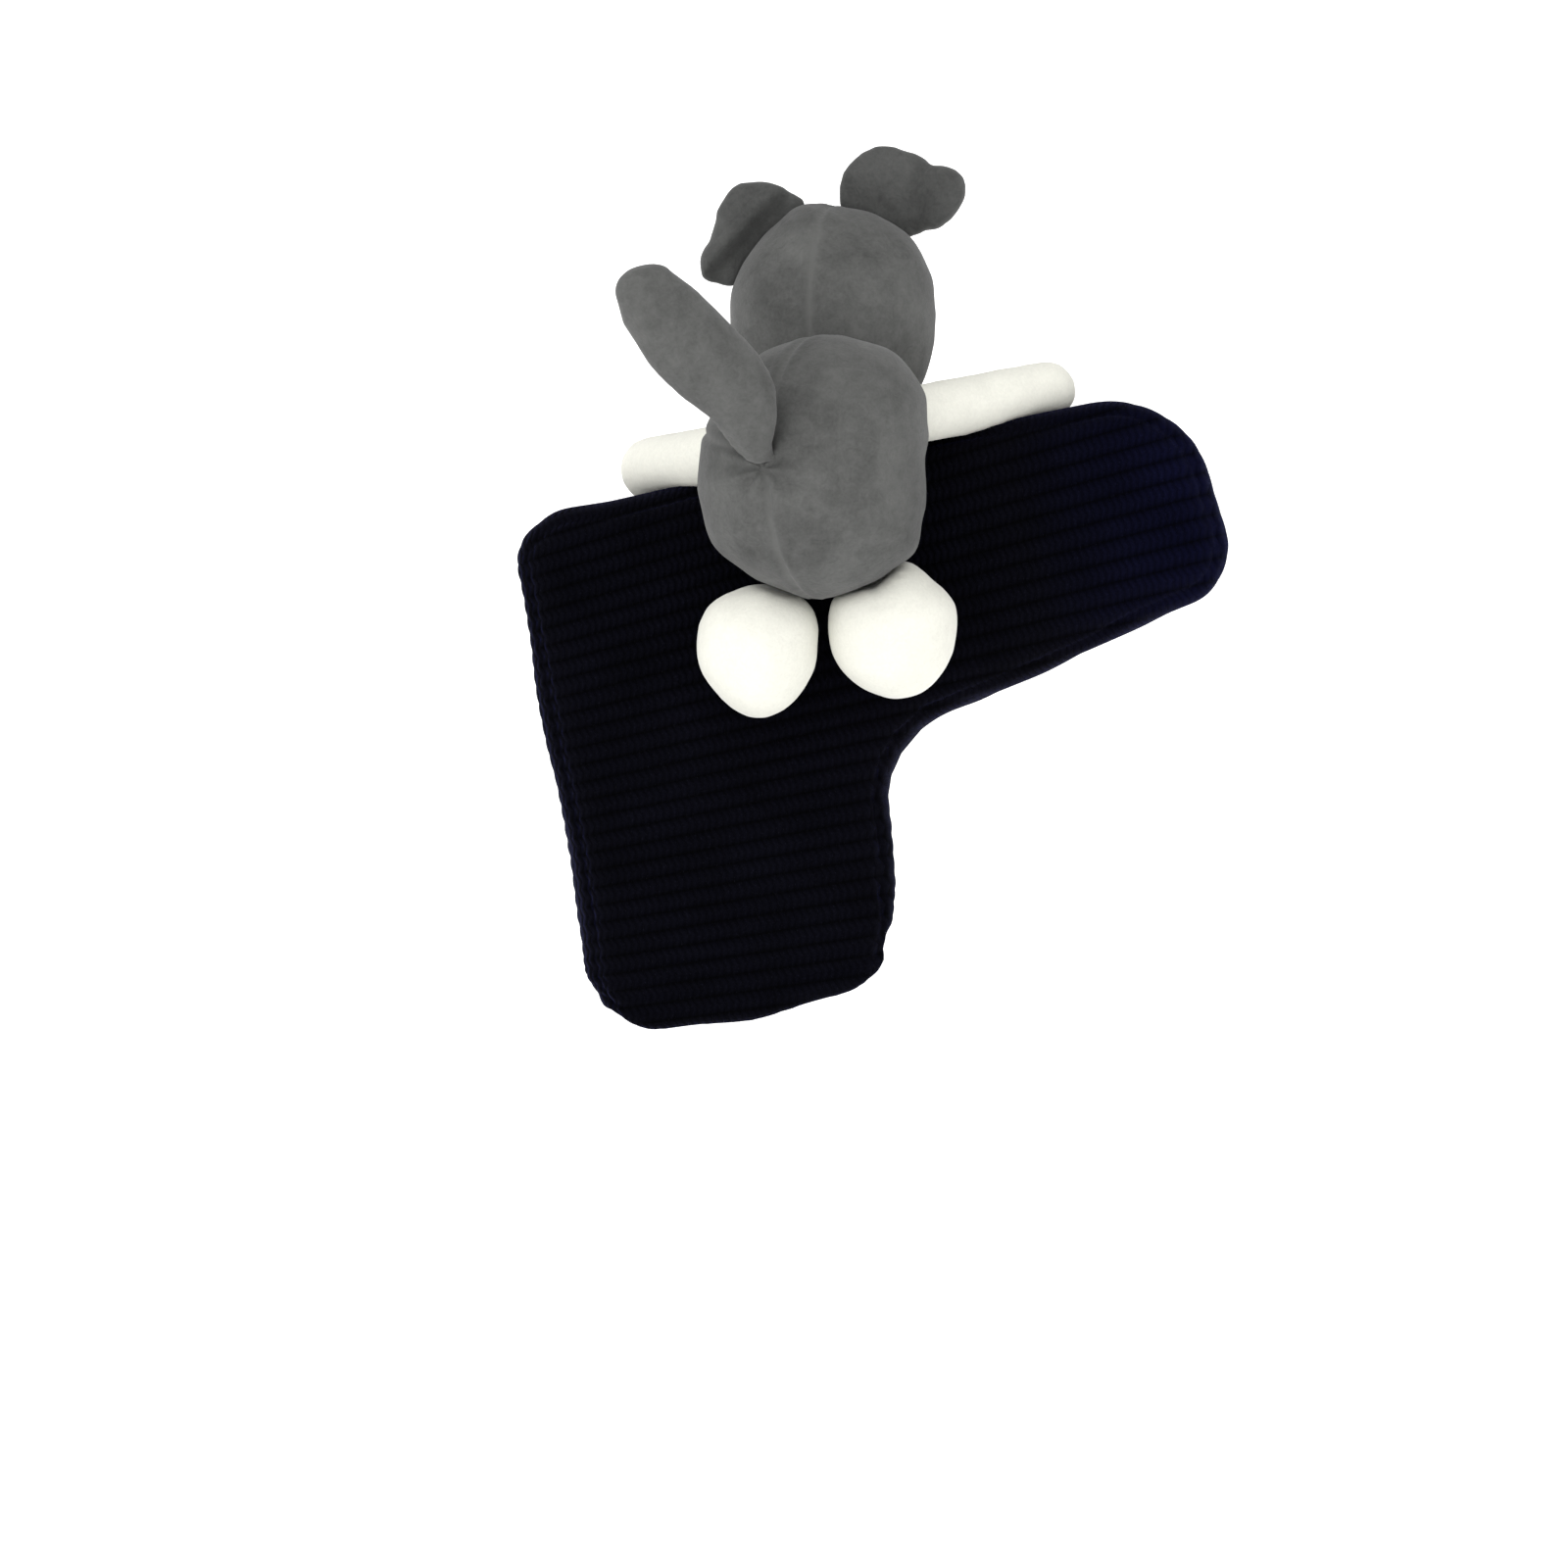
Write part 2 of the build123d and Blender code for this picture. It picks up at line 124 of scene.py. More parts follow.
# ------------------------------------------------------------------ settings
class HeadCoverSettings(bpy.types.PropertyGroup):
    rib_pitch: bpy.props.FloatProperty(
        name="Rib Pitch", description="From one rib to the next", default=4.2 * MM,
        unit="LENGTH")
    rib_depth: bpy.props.FloatProperty(
        name="Rib Depth", description="From a rib's crown down into the groove beside it",
        default=0.95 * MM, unit="LENGTH")
    seam_depth: bpy.props.FloatProperty(
        name="Seam Depth", description="How deep a sewn seam pulls into the fabric",
        default=0.9 * MM, unit="LENGTH")
    knit_colour: bpy.props.FloatVectorProperty(
        name="Knit", description="Colour of the knit yarn", subtype="COLOR", size=3,
        default=(0.0016, 0.0016, 0.0034))
    lining_colour: bpy.props.FloatVectorProperty(
        name="Lining", description="Colour of the fleece inside", subtype="COLOR", size=3,
        default=(0.02, 0.02, 0.024))
    grey_colour: bpy.props.FloatVectorProperty(
        name="Grey Plush", description="Colour of the puppy's coat", subtype="COLOR", size=3,
        default=(0.088, 0.089, 0.086))
    ear_colour: bpy.props.FloatVectorProperty(
        name="Ear Plush", description="Colour of the puppy's ears", subtype="COLOR", size=3,
        default=(0.066, 0.067, 0.065))
    white_colour: bpy.props.FloatVectorProperty(
        name="White Plush", description="Colour of the paws, face and belly", subtype="COLOR",
        size=3, default=(0.74, 0.735, 0.665))
    trim_colour: bpy.props.FloatVectorProperty(
        name="Eyes and Nose", description="Colour of the moulded plastic", subtype="COLOR",
        size=3, default=(0.006, 0.006, 0.007))


def settings():
    return bpy.context.scene.head_cover


# ------------------------------------------------------------------ small helpers
def only(obj):
    """Selects one object, makes it active and leaves the rest alone."""
    if bpy.context.object and bpy.context.object.mode != "OBJECT":
        bpy.ops.object.mode_set(mode="OBJECT")
    bpy.ops.object.select_all(action="DESELECT")
    obj.select_set(True)
    bpy.context.view_layer.objects.active = obj


def apply_modifier(obj, kind, **values):
    """Adds a modifier, sets it up and applies it."""
    only(obj)
    modifier = obj.modifiers.new(kind.lower(), kind)
    for key, value in values.items():
        setattr(modifier, key, value)
    bpy.ops.object.modifier_apply(modifier=modifier.name)


def copy_of_nodes(name, nodes):
    """A new object from copies of CAD nodes' meshes, joined and merged."""
    only(next(iter(frame["nodes"].values())))
    bpy.ops.object.select_all(action="DESELECT")
    copies = []
    for node in nodes:
        copy = bpy.data.objects.new(name, frame["nodes"][node].data.copy())
        bpy.context.scene.collection.objects.link(copy)
        copy.data.materials.clear()
        copy.select_set(True)
        copies.append(copy)
    bpy.context.view_layer.objects.active = copies[0]
    if len(copies) > 1:
        bpy.ops.object.join()
    piece = copies[0]
    piece.name = name
    piece.data.name = name
    only(piece)
    bpy.ops.object.mode_set(mode="EDIT")
    bpy.ops.mesh.select_all(action="SELECT")
    bpy.ops.mesh.remove_doubles(threshold=0.003 * MM)
    bpy.ops.mesh.select_all(action="DESELECT")
    bpy.ops.mesh.select_interior_faces()
    bpy.ops.mesh.delete(type="FACE")
    bpy.ops.object.mode_set(mode="OBJECT")
    return piece


def move_points(piece, rule):
    """Moves each vertex to rule(place, normal)."""
    places = [(v.co.copy(), v.normal.copy()) for v in piece.data.vertices]
    for vertex, (place, normal) in zip(piece.data.vertices, places):
        vertex.co = rule(place, normal)
    piece.data.update()


def cut(piece, way, levels, clear_below=False):
    """Cuts a mesh by planes across way, at the given places on them."""
    only(piece)
    bpy.ops.object.mode_set(mode="EDIT")
    for level in levels:
        bpy.ops.mesh.select_all(action="SELECT")
        bpy.ops.mesh.bisect(plane_co=level, plane_no=way, clear_inner=clear_below)
    bpy.ops.object.mode_set(mode="OBJECT")


def voxels(piece, size):
    apply_modifier(piece, "REMESH", mode="VOXEL", voxel_size=size, use_smooth_shade=True)


def relax(piece, turns, factor=0.5):
    apply_modifier(piece, "SMOOTH", iterations=turns, factor=factor)


def divide(piece, levels=1):
    apply_modifier(piece, "SUBSURF", levels=levels, render_levels=levels)


def smooth_step(value, low, high):
    t = min(max((value - low) / (high - low), 0.0), 1.0)
    return t * t * (3 - 2 * t)


def bump(distance, width):
    """1 on a line and falling away to 0 over about twice the width."""
    return math.exp(-((distance / width) ** 2))


def ring_value(stops, degrees):
    """Smooth value round a full turn, from (degrees, value) stops in rising order."""
    degrees %= 360
    turns = stops + [(stops[0][0] + 360, stops[0][1])]
    if degrees < stops[0][0]:
        degrees += 360
    for (a, before), (b, after) in zip(turns, turns[1:]):
        if a <= degrees <= b:
            return before + (after - before) * smooth_step(degrees, a, b)
    return stops[0][1]


def line_value(stops, where):
    """Smooth value along a line, from (place, value) stops in rising order."""
    where = min(max(where, stops[0][0]), stops[-1][0])
    for (a, before), (b, after) in zip(stops, stops[1:]):
        if where <= b:
            return before + (after - before) * (where - a) / (b - a)
    return stops[-1][1]


def swell_outline(piece, centre, stops, lift=None):
    """Scales a piece about a point, by an amount that depends on the bearing seen from behind."""
    def rule(place, normal):
        across, up = place.x - centre.x, place.z - centre.z
        reach = math.hypot(across, up)
        if reach < 1e-6:
            return place
        share = ring_value(stops, math.degrees(math.atan2(up, across)))
        share = 1 + (share - 1) * (lift(place) if lift else 1)
        return Vector((centre.x + across * share, place.y, centre.z + up * share))

    move_points(piece, rule)


def inflate(piece, pinned, cap, pressure=4.0, frames=20):
    """Fills a stuffed piece by a cloth simulation with air pressure and no weight.

    pinned(place) gives 0 to 1, how far the seam or the neighbour there holds the cloth. No point
    ends further than cap from its start."""
    scene = bpy.context.scene
    rest = [v.co.copy() for v in piece.data.vertices]
    group = piece.vertex_groups.new(name="held")
    for vertex in piece.data.vertices:
        group.add([vertex.index], pinned(vertex.co), "REPLACE")
    only(piece)
    cloth = piece.modifiers.new("air", "CLOTH")
    cloth.settings.quality = 6
    cloth.settings.mass = 0.15
    cloth.settings.tension_stiffness = 12
    cloth.settings.compression_stiffness = 12
    cloth.settings.shear_stiffness = 4
    cloth.settings.bending_stiffness = 0.4
    cloth.settings.use_pressure = True
    cloth.settings.uniform_pressure_force = pressure
    cloth.settings.vertex_group_mass = group.name
    cloth.settings.pin_stiffness = 1.0
    cloth.settings.effector_weights.gravity = 0
    cloth.collision_settings.use_collision = False
    cloth.point_cache.frame_start = 1
    cloth.point_cache.frame_end = frames
    for step in range(1, frames + 1):
        scene.frame_set(step)
    bpy.ops.object.modifier_apply(modifier=cloth.name)
    scene.frame_set(1)
    for vertex, start in zip(piece.data.vertices, rest):
        moved = vertex.co - start
        if moved.length > cap:
            vertex.co = start + moved.normalized() * cap
    piece.vertex_groups.clear()
    piece.data.update()


def shade(piece, material):
    piece.data.materials.clear()
    piece.data.materials.append(material)
    for polygon in piece.data.polygons:
        polygon.use_smooth = True


# ------------------------------------------------------------------ shader groups
def new_group(name, inputs, outputs):
    """An empty node group with named float or colour sockets."""
    group = bpy.data.node_groups.new(name, "ShaderNodeTree")
    for label, kind, default in inputs:
        socket = group.interface.new_socket(label, in_out="INPUT", socket_type=kind)
        socket.default_value = default
    for label, kind in outputs:
        group.interface.new_socket(label, in_out="OUTPUT", socket_type=kind)
    start = group.nodes.new("NodeGroupInput")
    end = group.nodes.new("NodeGroupOutput")
    return group, start, end


def add_node(tree, kind, links=None, **values):
    """Adds a node, sets its properties, and links or sets the sockets named in links."""
    node = tree.nodes.new(kind)
    for key, value in values.items():
        if hasattr(node, key):
            setattr(node, key, value)
    for key, value in (links or {}).items():
        if isinstance(value, bpy.types.NodeSocket):
            tree.links.new(value, node.inputs[key])
        else:
            node.inputs[key].default_value = value
    return node


def sum_of(tree, operation, *values):
    """A Math node over sockets or numbers."""
    node = add_node(tree, "ShaderNodeMath", dict(enumerate(values)), operation=operation)
    return node.outputs[0]


def mix_colours(tree, factor, first, second, blend="MIX"):
    return add_node(tree, "ShaderNodeMix", {0: factor, 6: first, 7: second},
                    data_type="RGBA", blend_type=blend).outputs[2]


def times_gain(tree, colour, gain):
    """A colour made lighter or darker by a number."""
    grey = add_node(tree, "ShaderNodeCombineColor", {0: gain, 1: gain, 2: gain})
    return mix_colours(tree, 1.0, colour, grey.outputs[0], "MULTIPLY")


def nap_group():
    """Short cut pile: soft cloudy shading where the nap lies over, and a fine grain on top."""
    if "nap" in bpy.data.node_groups:
        return bpy.data.node_groups["nap"]
    group, start, end = new_group(
        "nap",
        [("Color", "NodeSocketColor", (0.5, 0.5, 0.5, 1)), ("Cloud", "NodeSocketFloat", 0.3),
         ("Grain", "NodeSocketFloat", 0.2)],
        [("Color", "NodeSocketColor"), ("Height", "NodeSocketFloat")])
    place = add_node(group, "ShaderNodeTexCoord").outputs["Object"]
    cloud = add_node(group, "ShaderNodeTexNoise",
                     {"Vector": place, "Scale": 75.0, "Detail": 4.0, "Roughness": 0.6})
    brushed = add_node(group, "ShaderNodeTexNoise",
                       {"Vector": place, "Scale": 420.0, "Detail": 3.0, "Roughness": 0.7,
                        "Distortion": 0.8})
    pile = add_node(group, "ShaderNodeTexNoise",
                    {"Vector": place, "Scale": 1500.0, "Detail": 3.0, "Roughness": 0.65})
    tone = sum_of(group, "ADD", sum_of(group, "MULTIPLY", cloud.outputs[0], 0.65),
                  sum_of(group, "MULTIPLY", brushed.outputs[0], 0.35))
    swing = sum_of(group, "MULTIPLY", sum_of(group, "SUBTRACT", tone, 0.5), start.outputs["Cloud"])
    fleck = sum_of(group, "MULTIPLY", sum_of(group, "SUBTRACT", pile.outputs[0], 0.5),
                   start.outputs["Grain"])
    gain = sum_of(group, "ADD", 1.0, sum_of(group, "MULTIPLY",
                                            sum_of(group, "ADD", swing, fleck), 2.0))
    colour = times_gain(group, start.outputs["Color"], gain)
    height = sum_of(group, "ADD", sum_of(group, "MULTIPLY", pile.outputs[0], 0.6),
                    sum_of(group, "MULTIPLY", brushed.outputs[0], 0.8))
    group.links.new(colour, end.inputs["Color"])
    group.links.new(height, end.inputs["Height"])
    return group


def stitch_group():
    """Knit stitches: rows of V shapes along each rib, from the piece's own UV map, with painted shade in the rib
    grooves and in the gaps between the stitch loops.
    """
    if "stitches" in bpy.data.node_groups:
        return bpy.data.node_groups["stitches"]
    group, start, end = new_group(
        "stitches",
        [("Color", "NodeSocketColor", (0.5, 0.5, 0.5, 1)), ("Groove Shadow", "NodeSocketFloat", 0.5),
         ("Fuzz", "NodeSocketFloat", 0.3)],
        [("Color", "NodeSocketColor"), ("Height", "NodeSocketFloat"),
         ("Along", "NodeSocketFloat")])
    uv = add_node(group, "ShaderNodeUVMap", uv_map="knit").outputs[0]
    parts = add_node(group, "ShaderNodeSeparateXYZ", {0: uv})
    phase = sum_of(group, "FRACT", parts.outputs[1])
    off_crown = sum_of(group, "MULTIPLY", sum_of(group, "ABSOLUTE",
                                                 sum_of(group, "SUBTRACT", phase, 0.5)), 2.0)
    lean_in = sum_of(group, "MULTIPLY", off_crown, 0.55)
    along = sum_of(group, "ADD", sum_of(group, "MULTIPLY", parts.outputs[0], 2.6), lean_in)
    wave = sum_of(group, "SINE", sum_of(group, "MULTIPLY", along, 2 * math.pi))
    loop = sum_of(group, "POWER", sum_of(group, "ADD",
                                         sum_of(group, "MULTIPLY", wave, 0.5), 0.5), 0.6)
    place = add_node(group, "ShaderNodeTexCoord").outputs["Object"]
    yarn = add_node(group, "ShaderNodeTexNoise",
                    {"Vector": place, "Scale": 1400.0, "Detail": 4.0, "Roughness": 0.7})
    worn = add_node(group, "ShaderNodeTexNoise",
                    {"Vector": place, "Scale": 60.0, "Detail": 3.0, "Roughness": 0.55})
    # painted shade: the colour darkens towards each rib's groove and in the gaps between the V loops
    shadow = sum_of(group, "SUBTRACT", 1.0, sum_of(group, "MULTIPLY",
                    sum_of(group, "POWER", off_crown, 3.0), start.outputs["Groove Shadow"]))
    stitch_gap_shade = sum_of(group, "ADD", 0.72, sum_of(group, "MULTIPLY", loop, 0.38))
    fuzz = sum_of(group, "ADD", 1.0, sum_of(group, "MULTIPLY", sum_of(
        group, "ADD", sum_of(group, "SUBTRACT", yarn.outputs[0], 0.5),
        sum_of(group, "MULTIPLY", sum_of(group, "SUBTRACT", worn.outputs[0], 0.5), 1.6)),
        start.outputs["Fuzz"]))
    gain = sum_of(group, "MULTIPLY", sum_of(group, "MULTIPLY", shadow, stitch_gap_shade), fuzz)
    colour = times_gain(group, start.outputs["Color"], gain)
    height = sum_of(group, "ADD", loop, sum_of(group, "MULTIPLY", yarn.outputs[0], 0.5))
    group.links.new(colour, end.inputs["Color"])
    group.links.new(height, end.inputs["Height"])
    group.links.new(parts.outputs[0], end.inputs["Along"])
    return group


def new_material(name, **shader_values):
    """A material with one Principled shader, its plain values set on its own sockets."""
    material = bpy.data.materials.new(name)
    material.use_nodes = True
    shader = material.node_tree.nodes["Principled BSDF"]
    for key, value in shader_values.items():
        shader.inputs[key.replace("_", " ")].default_value = value
    return material, material.node_tree, shader


def rgba(colour):
    return (*colour, 1.0)


def plush_material(name, colour, cloud=0.9, grain=0.22, sheen=0.12):
    """Short-pile plush of one colour, with a painted highlight along its seams, where the nap also parts."""
    if name in bpy.data.materials:
        return bpy.data.materials[name]
    material, tree, shader = new_material(name, Roughness=0.95, Sheen_Weight=sheen,
                                          Sheen_Roughness=0.45, Specular_IOR_Level=0.15)
    shader.inputs["Sheen Tint"].default_value = (0.95, 0.95, 0.97, 1)
    nap = add_node(tree, "ShaderNodeGroup")
    nap.node_tree = nap_group()
    nap.inputs["Color"].default_value = rgba(colour)
    nap.inputs["Cloud"].default_value = cloud
    nap.inputs["Grain"].default_value = grain
    relief = add_node(tree, "ShaderNodeBump", {"Height": nap.outputs["Height"], "Strength": 0.5,
                                               "Distance": 0.35 * MM})
    # painted highlight along the seams, where the nap also parts: the colour is lighter on the seam lines
    seam = add_node(tree, "ShaderNodeAttribute", attribute_name="seam").outputs["Fac"]
    seam_parting_and_highlight = mix_colours(tree, sum_of(tree, "MULTIPLY", seam, 0.8), nap.outputs["Color"],
                         rgba([min(c * 1.4, 0.78) for c in colour]))
    tree.links.new(seam_parting_and_highlight, shader.inputs["Base Color"])
    tree.links.new(relief.outputs[0], shader.inputs["Normal"])
    return material


def knit_material(name, colour):
    """Rib-knit yarn, nearly black with a navy bloom where light grazes it, and a painted navy sheen in its colour
    towards the toe.
    """
    if name in bpy.data.materials:
        return bpy.data.materials[name]
    material, tree, shader = new_material(name, Roughness=0.95, Sheen_Weight=0.12,
                                          Sheen_Roughness=0.3, Specular_IOR_Level=0.03)
    shader.inputs["Sheen Tint"].default_value = (0.07, 0.08, 0.42, 1)
    stitch = add_node(tree, "ShaderNodeGroup")
    stitch.node_tree = stitch_group()
    stitch.inputs["Color"].default_value = rgba(colour)
    # strength of the painted shade in the rib grooves
    stitch.inputs["Groove Shadow"].default_value = 0.75
    stitch.inputs["Fuzz"].default_value = 0.7
    relief = add_node(tree, "ShaderNodeBump", {"Height": stitch.outputs["Height"],
                                               "Strength": 0.7, "Distance": 0.45 * MM})
    # painted navy sheen: the base colour turns navy towards the toe end
    toe = add_node(tree, "ShaderNodeMapRange", {"Value": stitch.outputs["Along"],
                                                "From Min": 18.0, "From Max": 27.0,
                                                "To Min": 0.0, "To Max": 0.75})
    navy = mix_colours(tree, 1.0, stitch.outputs["Color"], (1.3, 1.5, 3.8, 1), "MULTIPLY")
    colours = mix_colours(tree, toe.outputs[0], stitch.outputs["Color"], navy)
    tree.links.new(colours, shader.inputs["Base Color"])
    tree.links.new(relief.outputs[0], shader.inputs["Normal"])
    return material


def trim_material(name, colour):
    """Polished moulded plastic with a few fine scuffs."""
    if name in bpy.data.materials:
        return bpy.data.materials[name]
    material, tree, shader = new_material(name, Coat_Weight=0.25, Coat_Roughness=0.04,
                                          Specular_IOR_Level=0.3)
    place = add_node(tree, "ShaderNodeTexCoord").outputs["Object"]
    scuff = add_node(tree, "ShaderNodeTexNoise", {"Vector": place, "Scale": 900.0, "Detail": 5.0})
    rough = add_node(tree, "ShaderNodeMapRange", {"Value": scuff.outputs[0], "From Min": 0.4,
                                                  "From Max": 0.7, "To Min": 0.12,
                                                  "To Max": 0.28})
    tone = add_node(tree, "ShaderNodeMapRange", {"Value": scuff.outputs[0], "From Min": 0.3,
                                                 "From Max": 0.8, "To Min": 0.8,
                                                 "To Max": 1.4})
    colours = mix_colours(tree, tone.outputs[0], (0, 0, 0, 1), rgba(colour))
    tree.links.new(colours, shader.inputs["Base Color"])
    tree.links.new(rough.outputs[0], shader.inputs["Roughness"])
    return material


# ------------------------------------------------------------------ the boot
def along_up(place):
    """A place as (along the ribs, up from the mouth), from the frame's origin."""
    return place.dot(ALONG_RIBS), place.dot(MOUTH_AXIS)


def from_along_up(along, y, up):
    place = ALONG_RIBS * along + MOUTH_AXIS * up
    return Vector((place.x, y, place.z))


FAN_FOOT, FAN_HEAD = math.tan(math.radians(-4)), math.tan(math.radians(5.5))
COVER_HEIGHT = max(along_up(v.co)[1] for v in frame["nodes"]["knit_front_panel"].data.vertices)
COVER_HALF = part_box("knit_back_panel")[1].y


def fan_slope(level):
    return FAN_FOOT + (FAN_HEAD - FAN_FOOT) * level / COVER_HEIGHT


def rib_level(along, up):
    """The height of the rib through a place, where it crosses the shaft's axis. The ribs fan."""
    rate = (FAN_HEAD - FAN_FOOT) / COVER_HEIGHT
    return (up - along * FAN_FOOT) / (1 + along * rate)


HEM_MIDDLE, HEM_HALF = -9 * MM, 36 * MM  # along the ribs
HEM_REACH = 24 * MM  # how far up the boot its hang is felt


def hem_hang(place, normal):
    """The hem sags between its corners, which are pulled up and rounded."""
    along, up = along_up(place)
    share = (along - HEM_MIDDLE) / HEM_HALF
    lift = 5.0 * MM * share ** 2 + 0.3 * MM
    lift += 2.5 * MM * smooth_step(abs(share), 0.86, 1.02)
    lift += 0.35 * MM * math.sin(along / (4.1 * MM) + 0.8)
    draw_in = 3.2 * MM * smooth_step(abs(share), 0.5, 1.0) * math.copysign(1, share)
    draw_in *= (1 - smooth_step(up, -2 * MM, 15 * MM)) ** 1.5
    return (place + MOUTH_AXIS * lift * (1 - smooth_step(up, 0, HEM_REACH))
            - ALONG_RIBS * draw_in)


def outer_skin(piece):
    """Deletes all of a hollow shell but its outside, and everything at its mouth."""
    mesh = bmesh.new()
    mesh.from_mesh(piece.data)
    tree = BVHTree.FromBMesh(mesh)
    hidden = []
    for face in mesh.faces:
        centre = face.calc_center_median()
        normal = face.normal
        hit = tree.ray_cast(centre + normal * 0.02 * MM, normal, 1.0)[0]
        up = along_up(centre)[1]
        down = -normal.dot(MOUTH_AXIS)
        leaves = False
        if hit is None and down > 0.2:
            reach = up / down
            out_along = along_up(centre + normal * reach)[0]
            out_y = centre.y + normal.y * reach
            leaves = -46 * MM < out_along < 24 * MM and abs(out_y) < COVER_HALF
        if hit is not None or leaves:
            hidden.append(face)
    bmesh.ops.delete(mesh, geom=hidden, context="FACES")
    mesh.to_mesh(piece.data)
    mesh.free()


class HEADCOVER_OT_knit_boot(bpy.types.Operator):
    """The padded boot: rib knit outside, turned in at the mouth over its elastic"""
    bl_idname = "headcover.knit_boot"
    bl_label = "Knit Boot"

    def execute(self, context):
        values = settings()
        boot = copy_of_nodes("boot_knit", ("knit_front_panel", "knit_back_panel",
                                           "hem_band_front", "hem_band_back"))
        outer_skin(boot)
        self.close_below(boot, 9 * MM)
        stretch = 2.0  # finer rows across the ribs than along them
        row = values.rib_pitch / 6
        move_points(boot, lambda p, n: self.to_rib_space(p, stretch))
        voxels(boot, row * stretch)
        relax(boot, 4)
        move_points(boot, lambda p, n: self.from_rib_space(p, stretch))
        self.soften(boot)
        cut(boot, MOUTH_AXIS, [MOUTH_AXIS * -0.2 * MM], clear_below=True)
        self.ribs_and_seams(boot, values)
        self.turn_in(boot)
        apply_modifier(boot, "SOLIDIFY", thickness=KNIT_WALL, offset=-1, use_rim=True)
        self.add_uv(boot, values)
        shade(boot, knit_material("navy_rib_knit", values.knit_colour))
        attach(boot, "cover")
        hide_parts("knit_front_panel", "knit_back_panel", "hem_band_front",
                    "hem_band_back", "hem_elastic", "padding_front_panel",
                    "padding_back_panel")
        return {"FINISHED"}

    @staticmethod
    def close_below(boot, drop):
        """Runs the walls on below the mouth and closes them, so that the remesh has a solid."""
        only(boot)
        bpy.ops.object.mode_set(mode="EDIT")
        bpy.ops.mesh.select_all(action="DESELECT")
        bpy.ops.mesh.select_mode(type="EDGE")
        bpy.ops.mesh.select_non_manifold(extend=False, use_wire=False, use_boundary=True,
                                         use_multi_face=False, use_non_contiguous=False,
                                         use_verts=False)
        bpy.ops.mesh.extrude_region_move(
            TRANSFORM_OT_translate={"value": -MOUTH_AXIS * drop})
        bpy.ops.mesh.fill(use_beauty=False)
        bpy.ops.mesh.select_all(action="SELECT")
        bpy.ops.mesh.normals_make_consistent(inside=False)
        bpy.ops.object.mode_set(mode="OBJECT")

    @staticmethod
    def to_rib_space(place, stretch):
        along, up = along_up(place)
        return Vector((along, place.y, rib_level(along, up) * stretch))

    @staticmethod
    def from_rib_space(place, stretch):
        level = place.z / stretch
        return from_along_up(place.x, place.y, level + place.x * fan_slope(level))

    @staticmethod
    def soften(boot):
        """The padding crowns the faces, the sole edge dips and the heel side draws in at the waist."""
        def rule(place, normal):
            along, up = along_up(place)
            side = abs(place.y) / COVER_HALF
            crown = 0.9 * MM * math.sin(math.pi * min(max(up / COVER_HEIGHT, 0), 1))
            lump = noise.noise(place * 38) * 0.9 * MM + noise.noise(place * 95) * 0.35 * MM
            moved = place + normal * lump + Vector((0, normal.y * crown * side, 0))
            heel_dip = bump(along + 36 * MM, 5 * MM) * smooth_step(up, 105 * MM, 118 * MM)
            moved -= MOUTH_AXIS * 0.5 * MM * heel_dip
            toe_dip = bump(up - 97 * MM, 5 * MM) * smooth_step(along, 105 * MM, 114 * MM)
            moved -= ALONG_RIBS * 0.4 * MM * toe_dip
            waist = bump(up - 40 * MM, 26 * MM) * smooth_step(-along, 10 * MM, 44 * MM)
            moved += ALONG_RIBS * 0.8 * MM * waist
            return moved

        move_points(boot, rule)

    @staticmethod
    def ribs_and_seams(boot, values):
        """Ribs run heel to toe, and the seams pull the knit in beside the rim and over the hem."""
        pitch, depth, seam = values.rib_pitch, values.rib_depth, values.seam_depth
        seam_at = COVER_HALF * 0.79

        def rule(place, normal):
            along, up = along_up(place)
            phase = rib_level(along, up) / pitch
            groove = 1 - abs(math.sin(math.pi * phase)) ** 0.8
            uneven = 0.85 + 0.5 * noise.noise(Vector((along * 60, place.y * 60, up * 25)))
            off_seam = min(abs(abs(place.y) - seam_at), abs(place.y))
            rim = 1 - 0.45 * bump(off_seam, 2.2 * MM)
            rim *= 0.35 + 0.65 * smooth_step(abs(place.y) - seam_at, -2.5 * MM, 1 * MM)
            rim *= 1 - 0.55 * smooth_step(along, 84 * MM, 112 * MM)
            hem_line = bump(up - 3.4 * MM, 0.9 * MM)
            pucker = 0.75 + 0.25 * math.sin(2 * math.pi * along / (2.6 * MM))
            sink = depth * groove * uneven * rim
            sink += seam * bump(abs(place.y) - seam_at, 0.9 * MM) * pucker
            sink += 0.5 * seam * bump(place.y, 0.8 * MM)
            sink += 0.6 * seam * hem_line * pucker * smooth_step(abs(place.y), 9 * MM, 14 * MM)
            swell = 0.15 * MM * bump(up - 0.8 * MM, 1.4 * MM)
            return place + normal * (swell - sink)

        move_points(boot, rule)
        move_points(boot, hem_hang)

